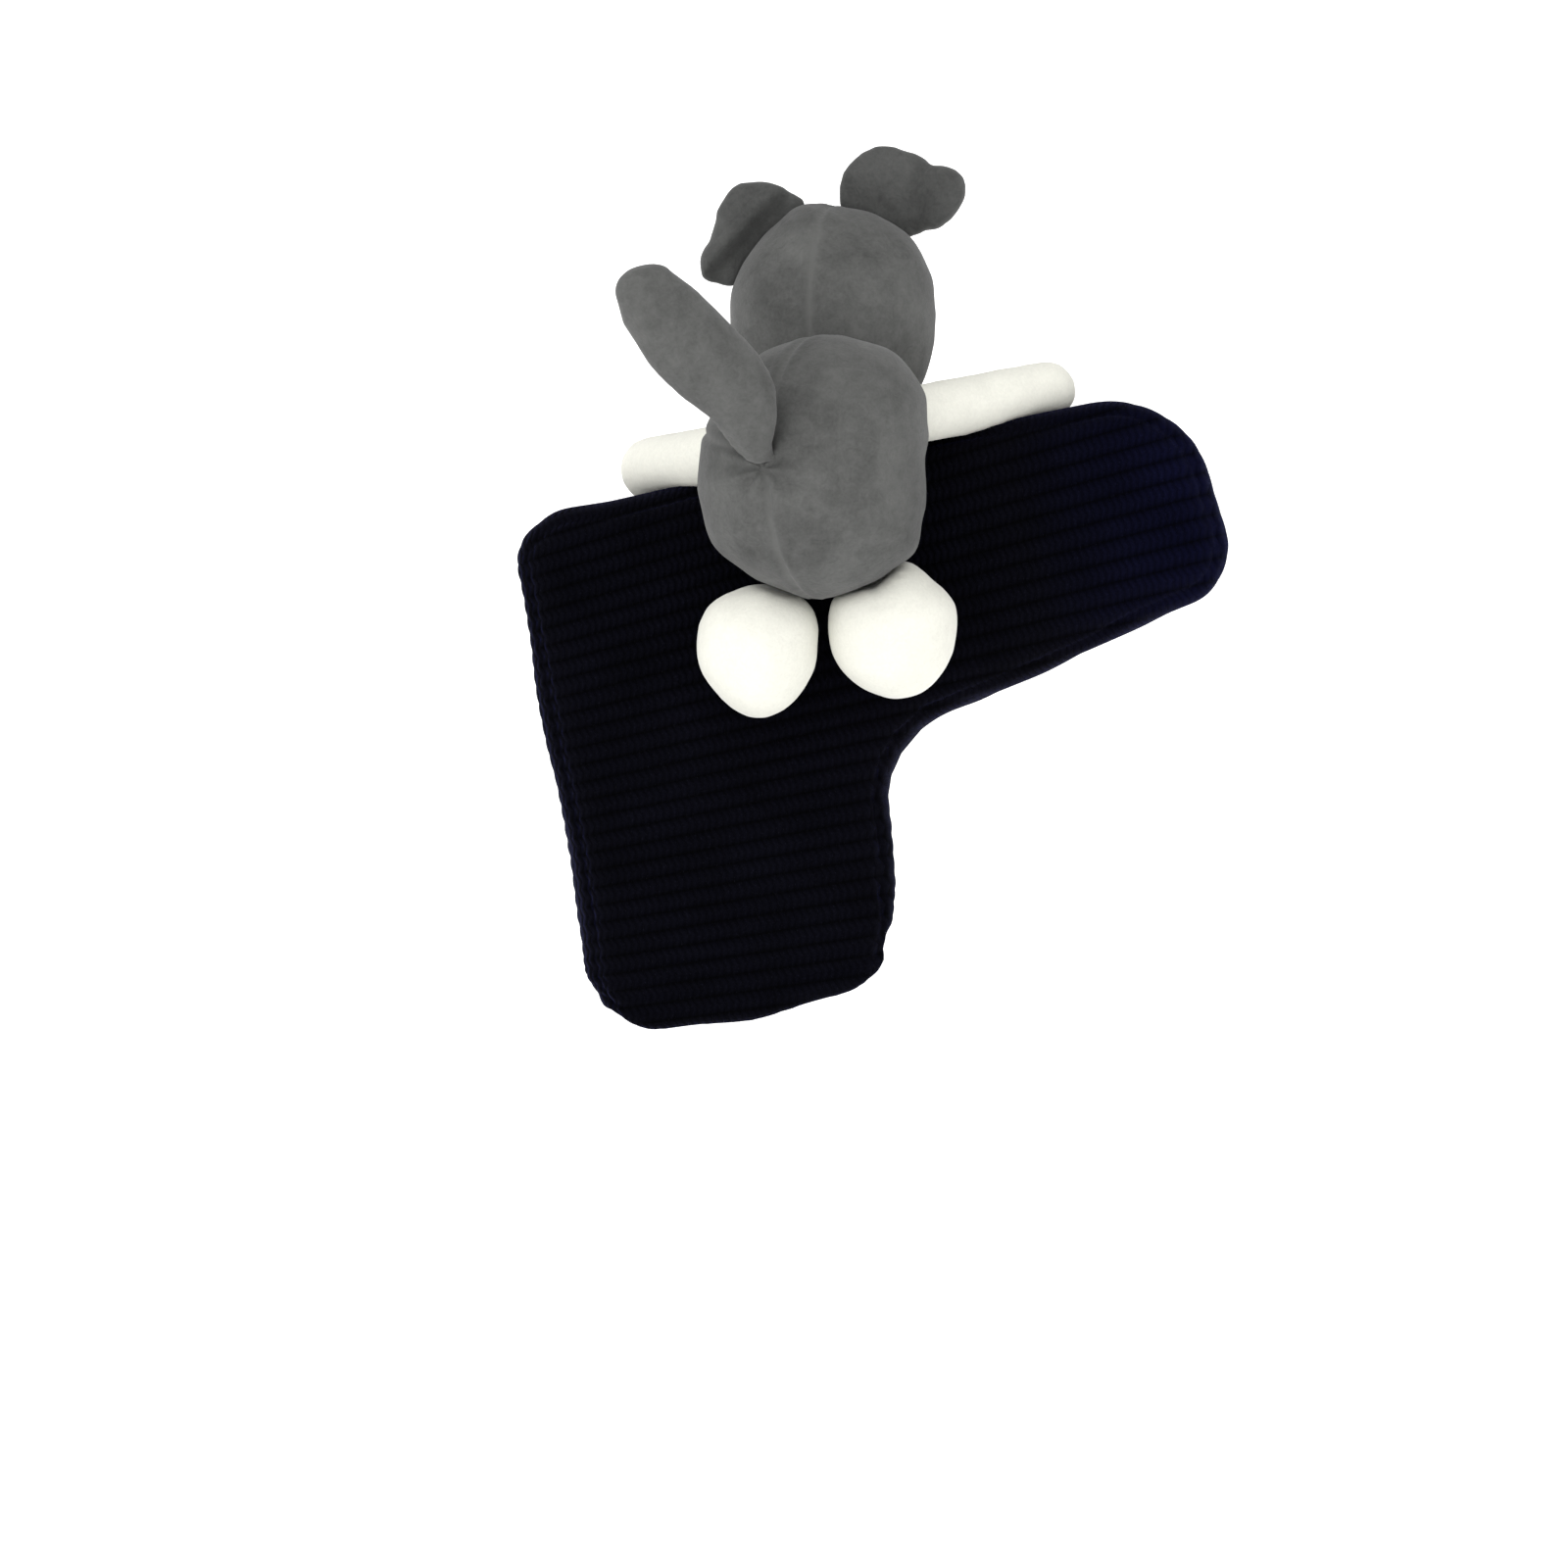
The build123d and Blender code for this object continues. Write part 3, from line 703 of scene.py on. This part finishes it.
    @staticmethod
    def turn_in(boot):
        """Turns the hem's edge in round its elastic and up inside the mouth."""
        mesh = bmesh.new()
        mesh.from_mesh(boot.data)
        rim = [e for e in mesh.edges if e.is_boundary]
        inward = {}
        for vertex in {v for e in rim for v in e.verts}:
            side = vertex.normal - MOUTH_AXIS * vertex.normal.dot(MOUTH_AXIS)
            inward[vertex] = -side.normalized()
        for step_in, step_up in ((0.7, -0.8), (1.5, -0.7), (2.1, 0.2), (1.7, 1.2), (0.6, 3.0),
                                 (0.0, 4.0)):
            made = bmesh.ops.extrude_edge_only(mesh, edges=rim)["geom"]
            new_rim = [g for g in made if isinstance(g, bmesh.types.BMEdge)]
            old = {tuple(round(c, 7) for c in v.co): w for v, w in inward.items()}
            inward = {}
            for vertex in [g for g in made if isinstance(g, bmesh.types.BMVert)]:
                way = old[tuple(round(c, 7) for c in vertex.co)]
                vertex.co += way * step_in * MM + MOUTH_AXIS * step_up * MM
                inward[vertex] = way
            rim = new_rim
        bmesh.ops.recalc_face_normals(mesh, faces=mesh.faces)
        mesh.to_mesh(boot.data)
        mesh.free()

    @staticmethod
    def add_uv(boot, values):
        """UV in rib pitches: along the ribs and across them."""
        layer = boot.data.uv_layers.new(name="knit")
        for loop in boot.data.loops:
            place = boot.data.vertices[loop.vertex_index].co
            along, up = along_up(place)
            layer.data[loop.index].uv = ((along + abs(place.y) * 0.2) / values.rib_pitch,
                                         rib_level(along, up) / values.rib_pitch)


class HEADCOVER_OT_lining(bpy.types.Operator):
    """The fleece bag inside the boot, which hangs with the hem and puckers a little"""
    bl_idname = "headcover.lining"
    bl_label = "Fleece Lining"

    def execute(self, context):
        lining = copy_of_nodes("fleece_lining", ("lining_front_panel", "lining_back_panel"))
        # rows of edges, so that the fleece can bend
        cut(lining, ALONG_RIBS, [ALONG_RIBS * (MM * (4 * row - 60)) for row in range(40)])
        cut(lining, MOUTH_AXIS, [MOUTH_AXIS * (MM * (0.5 + 4 * row)) for row in range(32)])
        move_points(lining, lambda p, n: p + n * noise.noise(p * 90) * 0.3 * MM)
        move_points(lining, hem_hang)
        shade(lining, plush_material("dark_fleece", settings().lining_colour, cloud=0.6,
                                     grain=0.5))
        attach(lining, "cover")
        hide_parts("lining_front_panel", "lining_back_panel")
        return {"FINISHED"}


# ------------------------------------------------------------------ the puppy
def stuffed(name, stuffing, voxel, grow):
    """A stuffed form from its filling, grown to the outside of its plush skin."""
    piece = copy_of_nodes(name, stuffing)
    voxels(piece, voxel)
    relax(piece, 3)
    if grow:
        move_points(piece, lambda p, n: p + n * grow)
    return piece


def level_turn(place, centre):
    """Bearing of a place about an upright line, 0 straight back and rising to the toe side."""
    return math.atan2(place.x - centre.x, centre.y - place.y)


def off_back_seam(place, centre, seam_turn):
    """Distance from an upright seam down the back, and far off for all of the front."""
    turn = level_turn(place, centre) + seam_turn
    if math.cos(turn) <= 0:
        return NO_SEAM
    return math.sin(turn) * math.hypot(place.x - centre.x, place.y - centre.y)


def sew(piece, seams, depth, width=0.7 * MM, puff=0.35):
    """Pulls seams in. Each seam is a function that gives a place's distance from its line."""
    # the seam lines, which the plush material lightens as a painted highlight
    line = piece.data.attributes.new("seam", "FLOAT", "POINT")
    for vertex, value in zip(piece.data.vertices, line.data):
        value.value = max(bump(seam(vertex.co), 0.9 * MM) for seam in seams)

    def rule(place, normal):
        sink = 0.0
        for seam in seams:
            distance = abs(seam(place))
            if distance > 8 * MM:
                continue
            thread = 0.85 + 0.15 * math.sin(sum(place) * 2 * math.pi / (2.4 * MM))
            sink += depth * bump(distance, width) * thread
            sink -= depth * puff * bump(distance - 2.6 * width, 1.6 * width)
        return place - normal * sink

    move_points(piece, rule)


def finish_plush(piece, colour_name, colour, slot, body, nodes, fill=0.85, cloud=0.9,
                 grain=0.22):
    shade(piece, plush_material(colour_name, colour, cloud, grain))
    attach(piece, body)
    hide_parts(*nodes)


class HEADCOVER_OT_puppy_body(bpy.types.Operator):
    """The puppy's stuffed body, its belly pressed flat on the boot"""
    bl_idname = "headcover.puppy_body"
    bl_label = "Puppy Body"

    def execute(self, context):
        body = stuffed("puppy_body", ("body_stuffing",), 2.0 * MM, PLUSH_WALL * 0.7)
        belly_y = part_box("belly_panel")[1].y
        centre = BODY_MIDDLE

        def loose(place):
            """Away from the boot and the head."""
            near_boot = smooth_step(belly_y - place.y, 4 * MM, 14 * MM)
            near_head = smooth_step((place - HEAD_MIDDLE).length, 25 * MM, 34 * MM)
            return near_boot * near_head

        swell_outline(body, centre, [(4, 0.96), (18, 1.03), (36, 1.13), (52, 1.13), (74, 1.045),
                                     (104, 0.99), (150, 1.0), (197, 1.04), (216, 1.08),
                                     (237, 1.02), (254, 0.99), (271, 1.025), (290, 1.01),
                                     (304, 1.035), (320, 1.10), (335, 1.03)], loose)

        def back_seam(place):
            return off_back_seam(place, centre, BACK_TURN)

        def side_seam(place):
            """From the tail round to the heel side, dropping a little."""
            turn = level_turn(place, centre)
            if not -1.9 < turn < -0.45:
                return NO_SEAM
            return place.z - (TAIL_ROOT.z + 3 * MM - 5 * MM * (turn + 0.45))

        inflate(body, lambda p: max(1 - loose(p), 0.9 * bump(back_seam(p), 2.2 * MM)), 1.6 * MM)
        divide(body, 2)

        def folds(place, normal):
            """Gathers that run out from the tail's seam, and the slack of a soft back."""
            off = place - TAIL_ROOT
            reach = math.hypot(off.x, off.z)
            turn = math.atan2(off.z, off.x)
            gather = math.cos(turn * 7 + 0.6) * bump(reach - 6 * MM, 6 * MM) * 0.6 * MM
            pull = 1.8 * MM * bump(off.length, 6 * MM)
            slack = noise.noise(place * 55 + Vector((3, 1, 7))) * 0.55 * MM * loose(place)
            return place + normal * (gather + slack - pull)

        move_points(body, folds)
        sew(body, (back_seam, side_seam), settings().seam_depth * 0.6)
        finish_plush(body, "grey_plush", settings().grey_colour, "plush_grey", "cover",
                     (*BODY_PANELS, "body_stuffing"))
        return {"FINISHED"}


class HEADCOVER_OT_puppy_head(bpy.types.Operator):
    """The puppy's stuffed head with a grey crown and a white face"""
    bl_idname = "headcover.puppy_head"
    bl_label = "Puppy Head"

    def execute(self, context):
        head = stuffed("puppy_head", ("head_stuffing",), 2.0 * MM, PLUSH_WALL)
        centre = HEAD_MIDDLE
        forward = Vector((math.sin(HEAD_BACK_TURN), math.cos(HEAD_BACK_TURN), 0))

        def upper(place):
            return smooth_step(place.z - centre.z, -10 * MM, 4 * MM)

        swell_outline(head, centre, [(0, 1.01), (12, 1.025), (29, 1.08), (48, 1.11), (66, 1.075),
                                     (85, 1.06), (104, 1.12), (120, 1.06), (135, 1.04),
                                     (158, 1.05), (177, 1.01), (270, 1.0)], upper)

        def back_seam(place):
            return off_back_seam(place, centre, HEAD_BACK_TURN)

        def face_seam(place):
            return (place - centre).dot(forward) - FACE_SEAM_FORWARD

        inflate(head, lambda p: max(1 - smooth_step(p.z - centre.z, -14 * MM, 0),
                                    0.9 * bump(back_seam(p), 2.2 * MM),
                                    0.9 * bump(face_seam(p), 2.2 * MM)), 1.2 * MM)
        divide(head, 2)
        cut(head, forward, [centre + forward * FACE_SEAM_FORWARD])
        move_points(head, lambda p, n: p + n * noise.noise(p * 60) * 0.45 * MM * upper(p))
        sew(head, (back_seam, face_seam), settings().seam_depth * 0.6)
        grey = plush_material("grey_plush", settings().grey_colour)
        white = plush_material("white_plush", settings().white_colour, **WHITE_NAP)
        shade(head, grey)
        head.data.materials.append(white)
        for polygon in head.data.polygons:
            if face_seam(polygon.center) > 0:
                polygon.material_index = 1
        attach(head, "head")
        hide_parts(*HEAD_PANELS, "head_stuffing", "eye_washers")
        return {"FINISHED"}


class HEADCOVER_OT_face(bpy.types.Operator):
    """The muzzle, nose and eyes of a plain puppy's face"""
    bl_idname = "headcover.face"
    bl_label = "Puppy Face"

    def execute(self, context):
        muzzle = stuffed("puppy_muzzle", ("muzzle_pad",), 1.0 * MM, 0)
        divide(muzzle, 1)
        nose = middle("nose_button")

        def philtrum(place, normal):
            """A stitched line runs down from the nose."""
            off = place - nose
            line = bump(off.x * math.cos(HEAD_BACK_TURN) - off.y * math.sin(HEAD_BACK_TURN),
                        0.6 * MM) * smooth_step(-off.z, 1 * MM, 3 * MM)
            front = smooth_step(normal.y, 0.2, 0.7)
            return place - normal * 0.5 * MM * line * front

        move_points(muzzle, philtrum)
        finish_plush(muzzle, "white_plush", settings().white_colour, "plush_white", "head",
                     ("muzzle_pad",), fill=0.8, **WHITE_NAP)
        plastic = trim_material("black_gloss", settings().trim_colour)
        for node in BLACK_TRIM:
            piece = frame["nodes"][node]
            piece.data.materials.clear()
            piece.data.materials.append(plastic)
        return {"FINISHED"}


class HEADCOVER_OT_ears(bpy.types.Operator):
    """Two folded ears, each a stuffed lobe sewn along a line on the head"""
    bl_idname = "headcover.ears"
    bl_label = "Ears"
    outlines = {
        "left": [(34, 1.18), (50, 1.12), (86, 1.20), (108, 1.27), (132, 1.20), (160, 1.02),
                 (180, 0.95), (200, 1.08), (217, 1.08), (235, 0.90), (250, 0.92), (275, 1.0),
                 (340, 1.0)],
        "right": [(10, 1.20), (25, 1.32), (36, 1.30), (50, 1.12), (66, 1.22), (84, 1.20),
                  (111, 1.21), (144, 1.22), (180, 1.10), (215, 1.0), (255, 0.9), (290, 0.68),
                  (310, 0.75), (332, 0.96), (352, 1.07)],
    }
    creases = {"left": ((0.84, 0.72), (0.29, 0.107)), "right": ((0.627, 0.23), (0.754, 0.838))}

    def execute(self, context):
        for side in ("left", "right"):
            nodes = (f"ear_{side}_outer_layer", f"ear_{side}_inner_layer")
            ear = stuffed(f"puppy_ear_{side}", nodes, 1.2 * MM, 0)
            hinge = joint_named(f"ear_{side}_flop")
            root = Vector(hinge["pos_m"])
            along = Vector(hinge["axis"])
            out = Vector((0, -1, 0)).cross(along)
            out = -out if out.dot(root - HEAD_MIDDLE) < 0 else out
            low, high = nodes_box(*nodes)
            ends = [Vector((low.x + (high.x - low.x) * x, 0, low.z + (high.z - low.z) * z))
                    for x, z in self.creases[side]]
            crease = (ends[1] - ends[0]).normalized()
            flap = Vector((0, 1, 0)).cross(crease)

            def fold(place, normal, start=ends[0], flap=flap, root=root, out=out):
                """The flap lies folded over on the back of the ear, beyond a deep crease."""
                over = (place - start).dot(flap)
                held = smooth_step((place - root).dot(out), 0.5 * MM, 4 * MM)
                back = -2.6 * MM * smooth_step(over, -0.8 * MM, 1.4 * MM)
                back += 1.5 * MM * bump(over + 0.6 * MM, 1.3 * MM)
                back += 2.2 * MM * smooth_step(over, 4 * MM, 11 * MM)
                round_off = 1.4 * MM * normal.y
                lump = 0.35 * MM * noise.noise(place * 120)
                return place + Vector((0, (back + round_off) * held, 0)) + normal * lump

            swell_outline(ear, (low + high) / 2, self.outlines[side])
            move_points(ear, fold)
            relax(ear, 2)
            inflate(ear, lambda p, r=root, o=out: 1 - smooth_step((p - r).dot(o), 0, 5 * MM),
                    0.8 * MM, pressure=3.0)
            divide(ear, 1)
            finish_plush(ear, "dark_grey_plush", settings().ear_colour, "plush_grey",
                         f"ear_{side}", nodes, fill=0.4)
        return {"FINISHED"}


class HEADCOVER_OT_tail(bpy.types.Operator):
    """The stuffed tail, pinched at its seam on the back"""
    bl_idname = "headcover.tail"
    bl_label = "Tail"
    half_widths = [(0, 2.6), (0.08, 4.8), (0.17, 6.8), (0.28, 8.6), (0.42, 10.2), (0.62, 10.0),
                   (0.82, 8.6), (0.95, 6.0), (1, 4.0)]
    middles = [(0, 0), (0.08, 1.8), (0.17, 3.6), (0.28, 4.4), (0.42, 2.6), (0.62, 0.1),
               (0.82, -1.7), (1, -2.4)]

    def execute(self, context):
        tail = stuffed("puppy_tail", ("tail_stuffing",), 1.5 * MM, PLUSH_WALL * 0.8)
        tip = max((v.co for v in tail.data.vertices), key=lambda p: (p - TAIL_ROOT).length).copy()
        length = (tip - TAIL_ROOT).length
        way = (tip - TAIL_ROOT).normalized()
        across = Vector((0, 1, 0)).cross(way).normalized()
        out_of_back = Vector(joint_named("tail_wag")["axis"])
        girth = [0.001 * MM] * (GIRTH_STEPS + 1)
        for vertex in tail.data.vertices:
            off = vertex.co - TAIL_ROOT
            place = min(max(int(off.dot(way) / length * GIRTH_STEPS), 0), GIRTH_STEPS)
            girth[place] = max(girth[place], abs(off.dot(across)))

        def shape(place, normal):
            """Broad and bowed to the toe side over its seam, then leaning back to the tip."""
            off = place - TAIL_ROOT
            share = min(max(off.dot(way) / length, 0), 1)
            here = int(share * GIRTH_STEPS)
            rest = share * GIRTH_STEPS - here
            own = girth[here] * (1 - rest) + girth[min(here + 1, GIRTH_STEPS)] * rest
            side = off.dot(across)
            wide = line_value(self.half_widths, share) * MM
            move = line_value(self.middles, share) * MM + side * (wide / own - 1)
            if share > 0.93:
                move = line_value(self.middles, share) * MM + side * 0.15
            sewn = out_of_back * TAIL_ROOT_IN * (1 - smooth_step(share, 0, 0.13))
            return place + across * move - sewn

        move_points(tail, shape)
        relax(tail, 3)
        inflate(tail, lambda p: 1 - smooth_step((p - TAIL_ROOT).length, 4 * MM, 12 * MM),
                0.9 * MM)
        divide(tail, 1)

        def slack(place, normal):
            """The nap's lumps, and short gathers where the tail is sewn on."""
            off = place - TAIL_ROOT
            free = smooth_step(off.length, 4 * MM, 12 * MM)
            lump = noise.noise(place * 80 + Vector((5, 5, 5))) * 0.45 * MM * free
            gather = math.cos(math.atan2(off.dot(across), off.y) * 6) * 0.35 * MM
            return place + normal * (lump + gather * bump(off.length - 8 * MM, 5 * MM))

        move_points(tail, slack)
        finish_plush(tail, "grey_plush", settings().grey_colour, "plush_grey", "tail",
                     ("tail_back_panel", "tail_front_panel", "tail_stuffing"))
        return {"FINISHED"}


class HEADCOVER_OT_arms(bpy.types.Operator):
    """The arms that lie along the sole edge"""
    bl_idname = "headcover.arms"
    bl_label = "Arms"
    hand_growth = {"left": 2.2 * MM, "right": 0.4 * MM}

    def execute(self, context):
        for side in ("left", "right"):
            arm = stuffed(f"puppy_arm_{side}", (f"arm_{side}_stuffing",), 1.4 * MM,
                          PLUSH_WALL * 0.8)
            low, high = nodes_box(f"arm_{side}_stuffing")
            hand = Vector((low.x if side == "left" else high.x, 0, 0))

            def fill_out(place, normal, hand=hand, more=self.hand_growth[side]):
                """The hand is the fullest part, and the arm beds down on the boot."""
                near = 1 - smooth_step(abs(place.x - hand.x), 3 * MM, 16 * MM)
                reach = Vector((math.copysign(more, hand.x), 0, 0)) * near
                bed = Vector((0, 0, -0.7 * MM))
                return place + normal * (0.2 * MM + more * 0.45 * near) + reach + bed

            move_points(arm, fill_out)
            inflate(arm, lambda p: 1 - smooth_step((p - BODY_MIDDLE).length, 26 * MM, 34 * MM),
                    0.8 * MM)
            divide(arm, 1)
            move_points(arm, lambda p, n: p + n * noise.noise(p * 70 + Vector((2, 8, 1)))
                        * 0.5 * MM)
            nodes = tuple(f"arm_{side}_{part}"
                          for part in ("upper_panel", "lower_panel", "stuffing"))
            finish_plush(arm, "white_plush", settings().white_colour, "plush_white", "cover",
                         nodes, **WHITE_NAP)
        return {"FINISHED"}


class HEADCOVER_OT_feet(bpy.types.Operator):
    """The two feet with their soles towards you"""
    bl_idname = "headcover.feet"
    bl_label = "Feet"
    outlines = {
        "left": [(0, 0.97), (36, 1.10), (70, 1.0), (106, 0.93), (142, 1.0), (181, 0.985),
                 (230, 0.87), (276, 0.95), (320, 0.93)],
        "right": [(15, 1.06), (53, 0.92), (84, 0.97), (115, 0.90), (156, 1.10), (197, 1.05),
                  (235, 1.03), (265, 1.01), (303, 1.0), (342, 1.03)],
    }

    def execute(self, context):
        for side, stops in self.outlines.items():
            foot = stuffed(f"puppy_foot_{side}", (f"foot_{side}_stuffing",), 1.7 * MM,
                           PLUSH_WALL * 0.8)
            centre = middle(f"foot_{side}_sole_panel", f"foot_{side}_heel_panel")
            swell_outline(foot, centre, stops)
            back = centre.y

            def rim(place, back=back):
                return place.y - back

            inflate(foot, lambda p, b=back: max(smooth_step(p.y - b, 3 * MM, 8 * MM),
                                                0.8 * bump(rim(p), 2 * MM)), 1.0 * MM)
            divide(foot, 2)
            move_points(foot, lambda p, n: p + n * noise.noise(p * 65 + Vector((1, 4, 9)))
                        * 0.7 * MM)
            sew(foot, (rim,), settings().seam_depth * 0.4)
            nodes = tuple(f"foot_{side}_{part}"
                          for part in ("sole_panel", "heel_panel", "stuffing"))
            finish_plush(foot, "white_plush", settings().white_colour, "plush_white",
                         f"foot_{side}", nodes, **WHITE_NAP)
        return {"FINISHED"}


# ------------------------------------------------------------------ the stage
def soft_light(name, place, power, spread):
    """A broad light that shines from a place towards the object and evenly over the stage."""
    data = bpy.data.lights.new(name, "SUN")
    data.energy = power
    data.angle = math.radians(spread)
    light = bpy.data.objects.new(name, data)
    light.rotation_euler = (-Vector(place)).to_track_quat("-Z", "Y").to_euler()
    light.location = place
    bpy.context.scene.collection.objects.link(light)


class HEADCOVER_OT_stage(bpy.types.Operator):
    """A pale floor that curves up all round, soft studio light and the camera"""
    bl_idname = "headcover.stage"
    bl_label = "Stage"

    def execute(self, context):
        scene = context.scene
        floor_z = cad_box[0].z - FLOOR_DROP
        bpy.ops.object.select_all(action="DESELECT")
        bpy.ops.mesh.primitive_circle_add(vertices=96, radius=FLOOR_RADIUS, fill_type="NOTHING",
                                          location=(0, 0, floor_z))
        floor = context.object
        floor.name = "stage_floor"
        bpy.ops.object.mode_set(mode="EDIT")
        bpy.ops.mesh.select_mode(type="VERT")
        bpy.ops.mesh.select_all(action="SELECT")
        for grow, lift in ((1.12, 0.02), (1.11, 0.08), (1.10, 0.16), (1.09, 0.26), (1.08, 0.36),
                           (1.07, 0.46), (1.06, 0.56)):
            bpy.ops.mesh.extrude_region_move(TRANSFORM_OT_translate={"value": (0, 0, lift)})
            bpy.ops.transform.resize(value=(grow, grow, 1),
                                     center_override=(0, 0, floor_z))
        bpy.ops.mesh.select_all(action="DESELECT")
        bpy.ops.object.mode_set(mode="OBJECT")
        for vertex in floor.data.vertices:
            vertex.select = vertex.co.z < 0.01
        bpy.ops.object.mode_set(mode="EDIT")
        bpy.ops.mesh.edge_face_add()
        bpy.ops.mesh.select_all(action="SELECT")
        bpy.ops.mesh.normals_make_consistent(inside=False)
        bpy.ops.mesh.flip_normals()
        bpy.ops.object.mode_set(mode="OBJECT")
        for polygon in floor.data.polygons:
            polygon.use_smooth = True
        paper, _, shader = new_material("stage_paper", Roughness=0.9, Emission_Strength=0.4)
        shader.inputs["Emission Color"].default_value = (1, 1, 1, 1)
        shader.inputs["Base Color"].default_value = (0.95, 0.95, 0.95, 1)
        floor.data.materials.append(paper)
        only(floor)
        bpy.ops.object.transform_apply(location=True, rotation=True, scale=True)

        soft_light("key", (-0.5, -1.0, 0.9), 1.15, 45)
        soft_light("fill", (0.9, -0.8, 0.35), 0.3, 70)
        soft_light("far_left", (-0.8, 1.0, 0.7), 0.6, 60)
        soft_light("far_right", (0.8, 1.0, 0.7), 0.5, 60)
        world = bpy.data.worlds.new("studio")
        world.use_nodes = True
        world.node_tree.nodes["Background"].inputs["Color"].default_value = (1, 1, 1, 1)
        world.node_tree.nodes["Background"].inputs["Strength"].default_value = 0.62
        scene.world = world
        scene.view_settings.view_transform = "Standard"

        camera_data = bpy.data.cameras.new("camera")
        camera = bpy.data.objects.new("camera", camera_data)
        scene.collection.objects.link(camera)
        camera_data.sensor_width = CAMERA_SENSOR
        camera_data.lens = CAMERA_SENSOR * CAMERA_DISTANCE / CAMERA_WIDTH
        camera.location = (-0.0026, -0.03 - CAMERA_DISTANCE, 0.0495)
        camera.rotation_euler = (math.radians(90), 0, 0)
        scene.camera = camera
        return {"FINISHED"}


# ------------------------------------------------------------------ add-on
OPERATORS = (
    HEADCOVER_OT_stage,
    HEADCOVER_OT_knit_boot,
    HEADCOVER_OT_lining,
    HEADCOVER_OT_puppy_body,
    HEADCOVER_OT_puppy_head,
    HEADCOVER_OT_face,
    HEADCOVER_OT_ears,
    HEADCOVER_OT_tail,
    HEADCOVER_OT_arms,
    HEADCOVER_OT_feet,
)


class HEADCOVER_PT_panel(bpy.types.Panel):
    """Lists the pieces and their settings"""
    bl_idname = "HEADCOVER_PT_panel"
    bl_label = "Head Cover"
    bl_space_type = "VIEW_3D"
    bl_region_type = "UI"
    bl_category = "Head Cover"

    def draw(self, context):
        for name in HeadCoverSettings.__annotations__:
            self.layout.prop(settings(), name)
        for operator in OPERATORS:
            self.layout.operator(operator.bl_idname)


def register():
    for item in (HeadCoverSettings, *OPERATORS, HEADCOVER_PT_panel):
        bpy.utils.register_class(item)
    bpy.types.Scene.head_cover = bpy.props.PointerProperty(type=HeadCoverSettings)


def unregister():
    del bpy.types.Scene.head_cover
    for item in (HEADCOVER_PT_panel, *reversed(OPERATORS), HeadCoverSettings):
        bpy.utils.unregister_class(item)


def main():
    register()
    for operator in OPERATORS:
        category, name = operator.bl_idname.split(".")
        getattr(getattr(bpy.ops, category), name)()


if __name__ == "__main__":
    main()
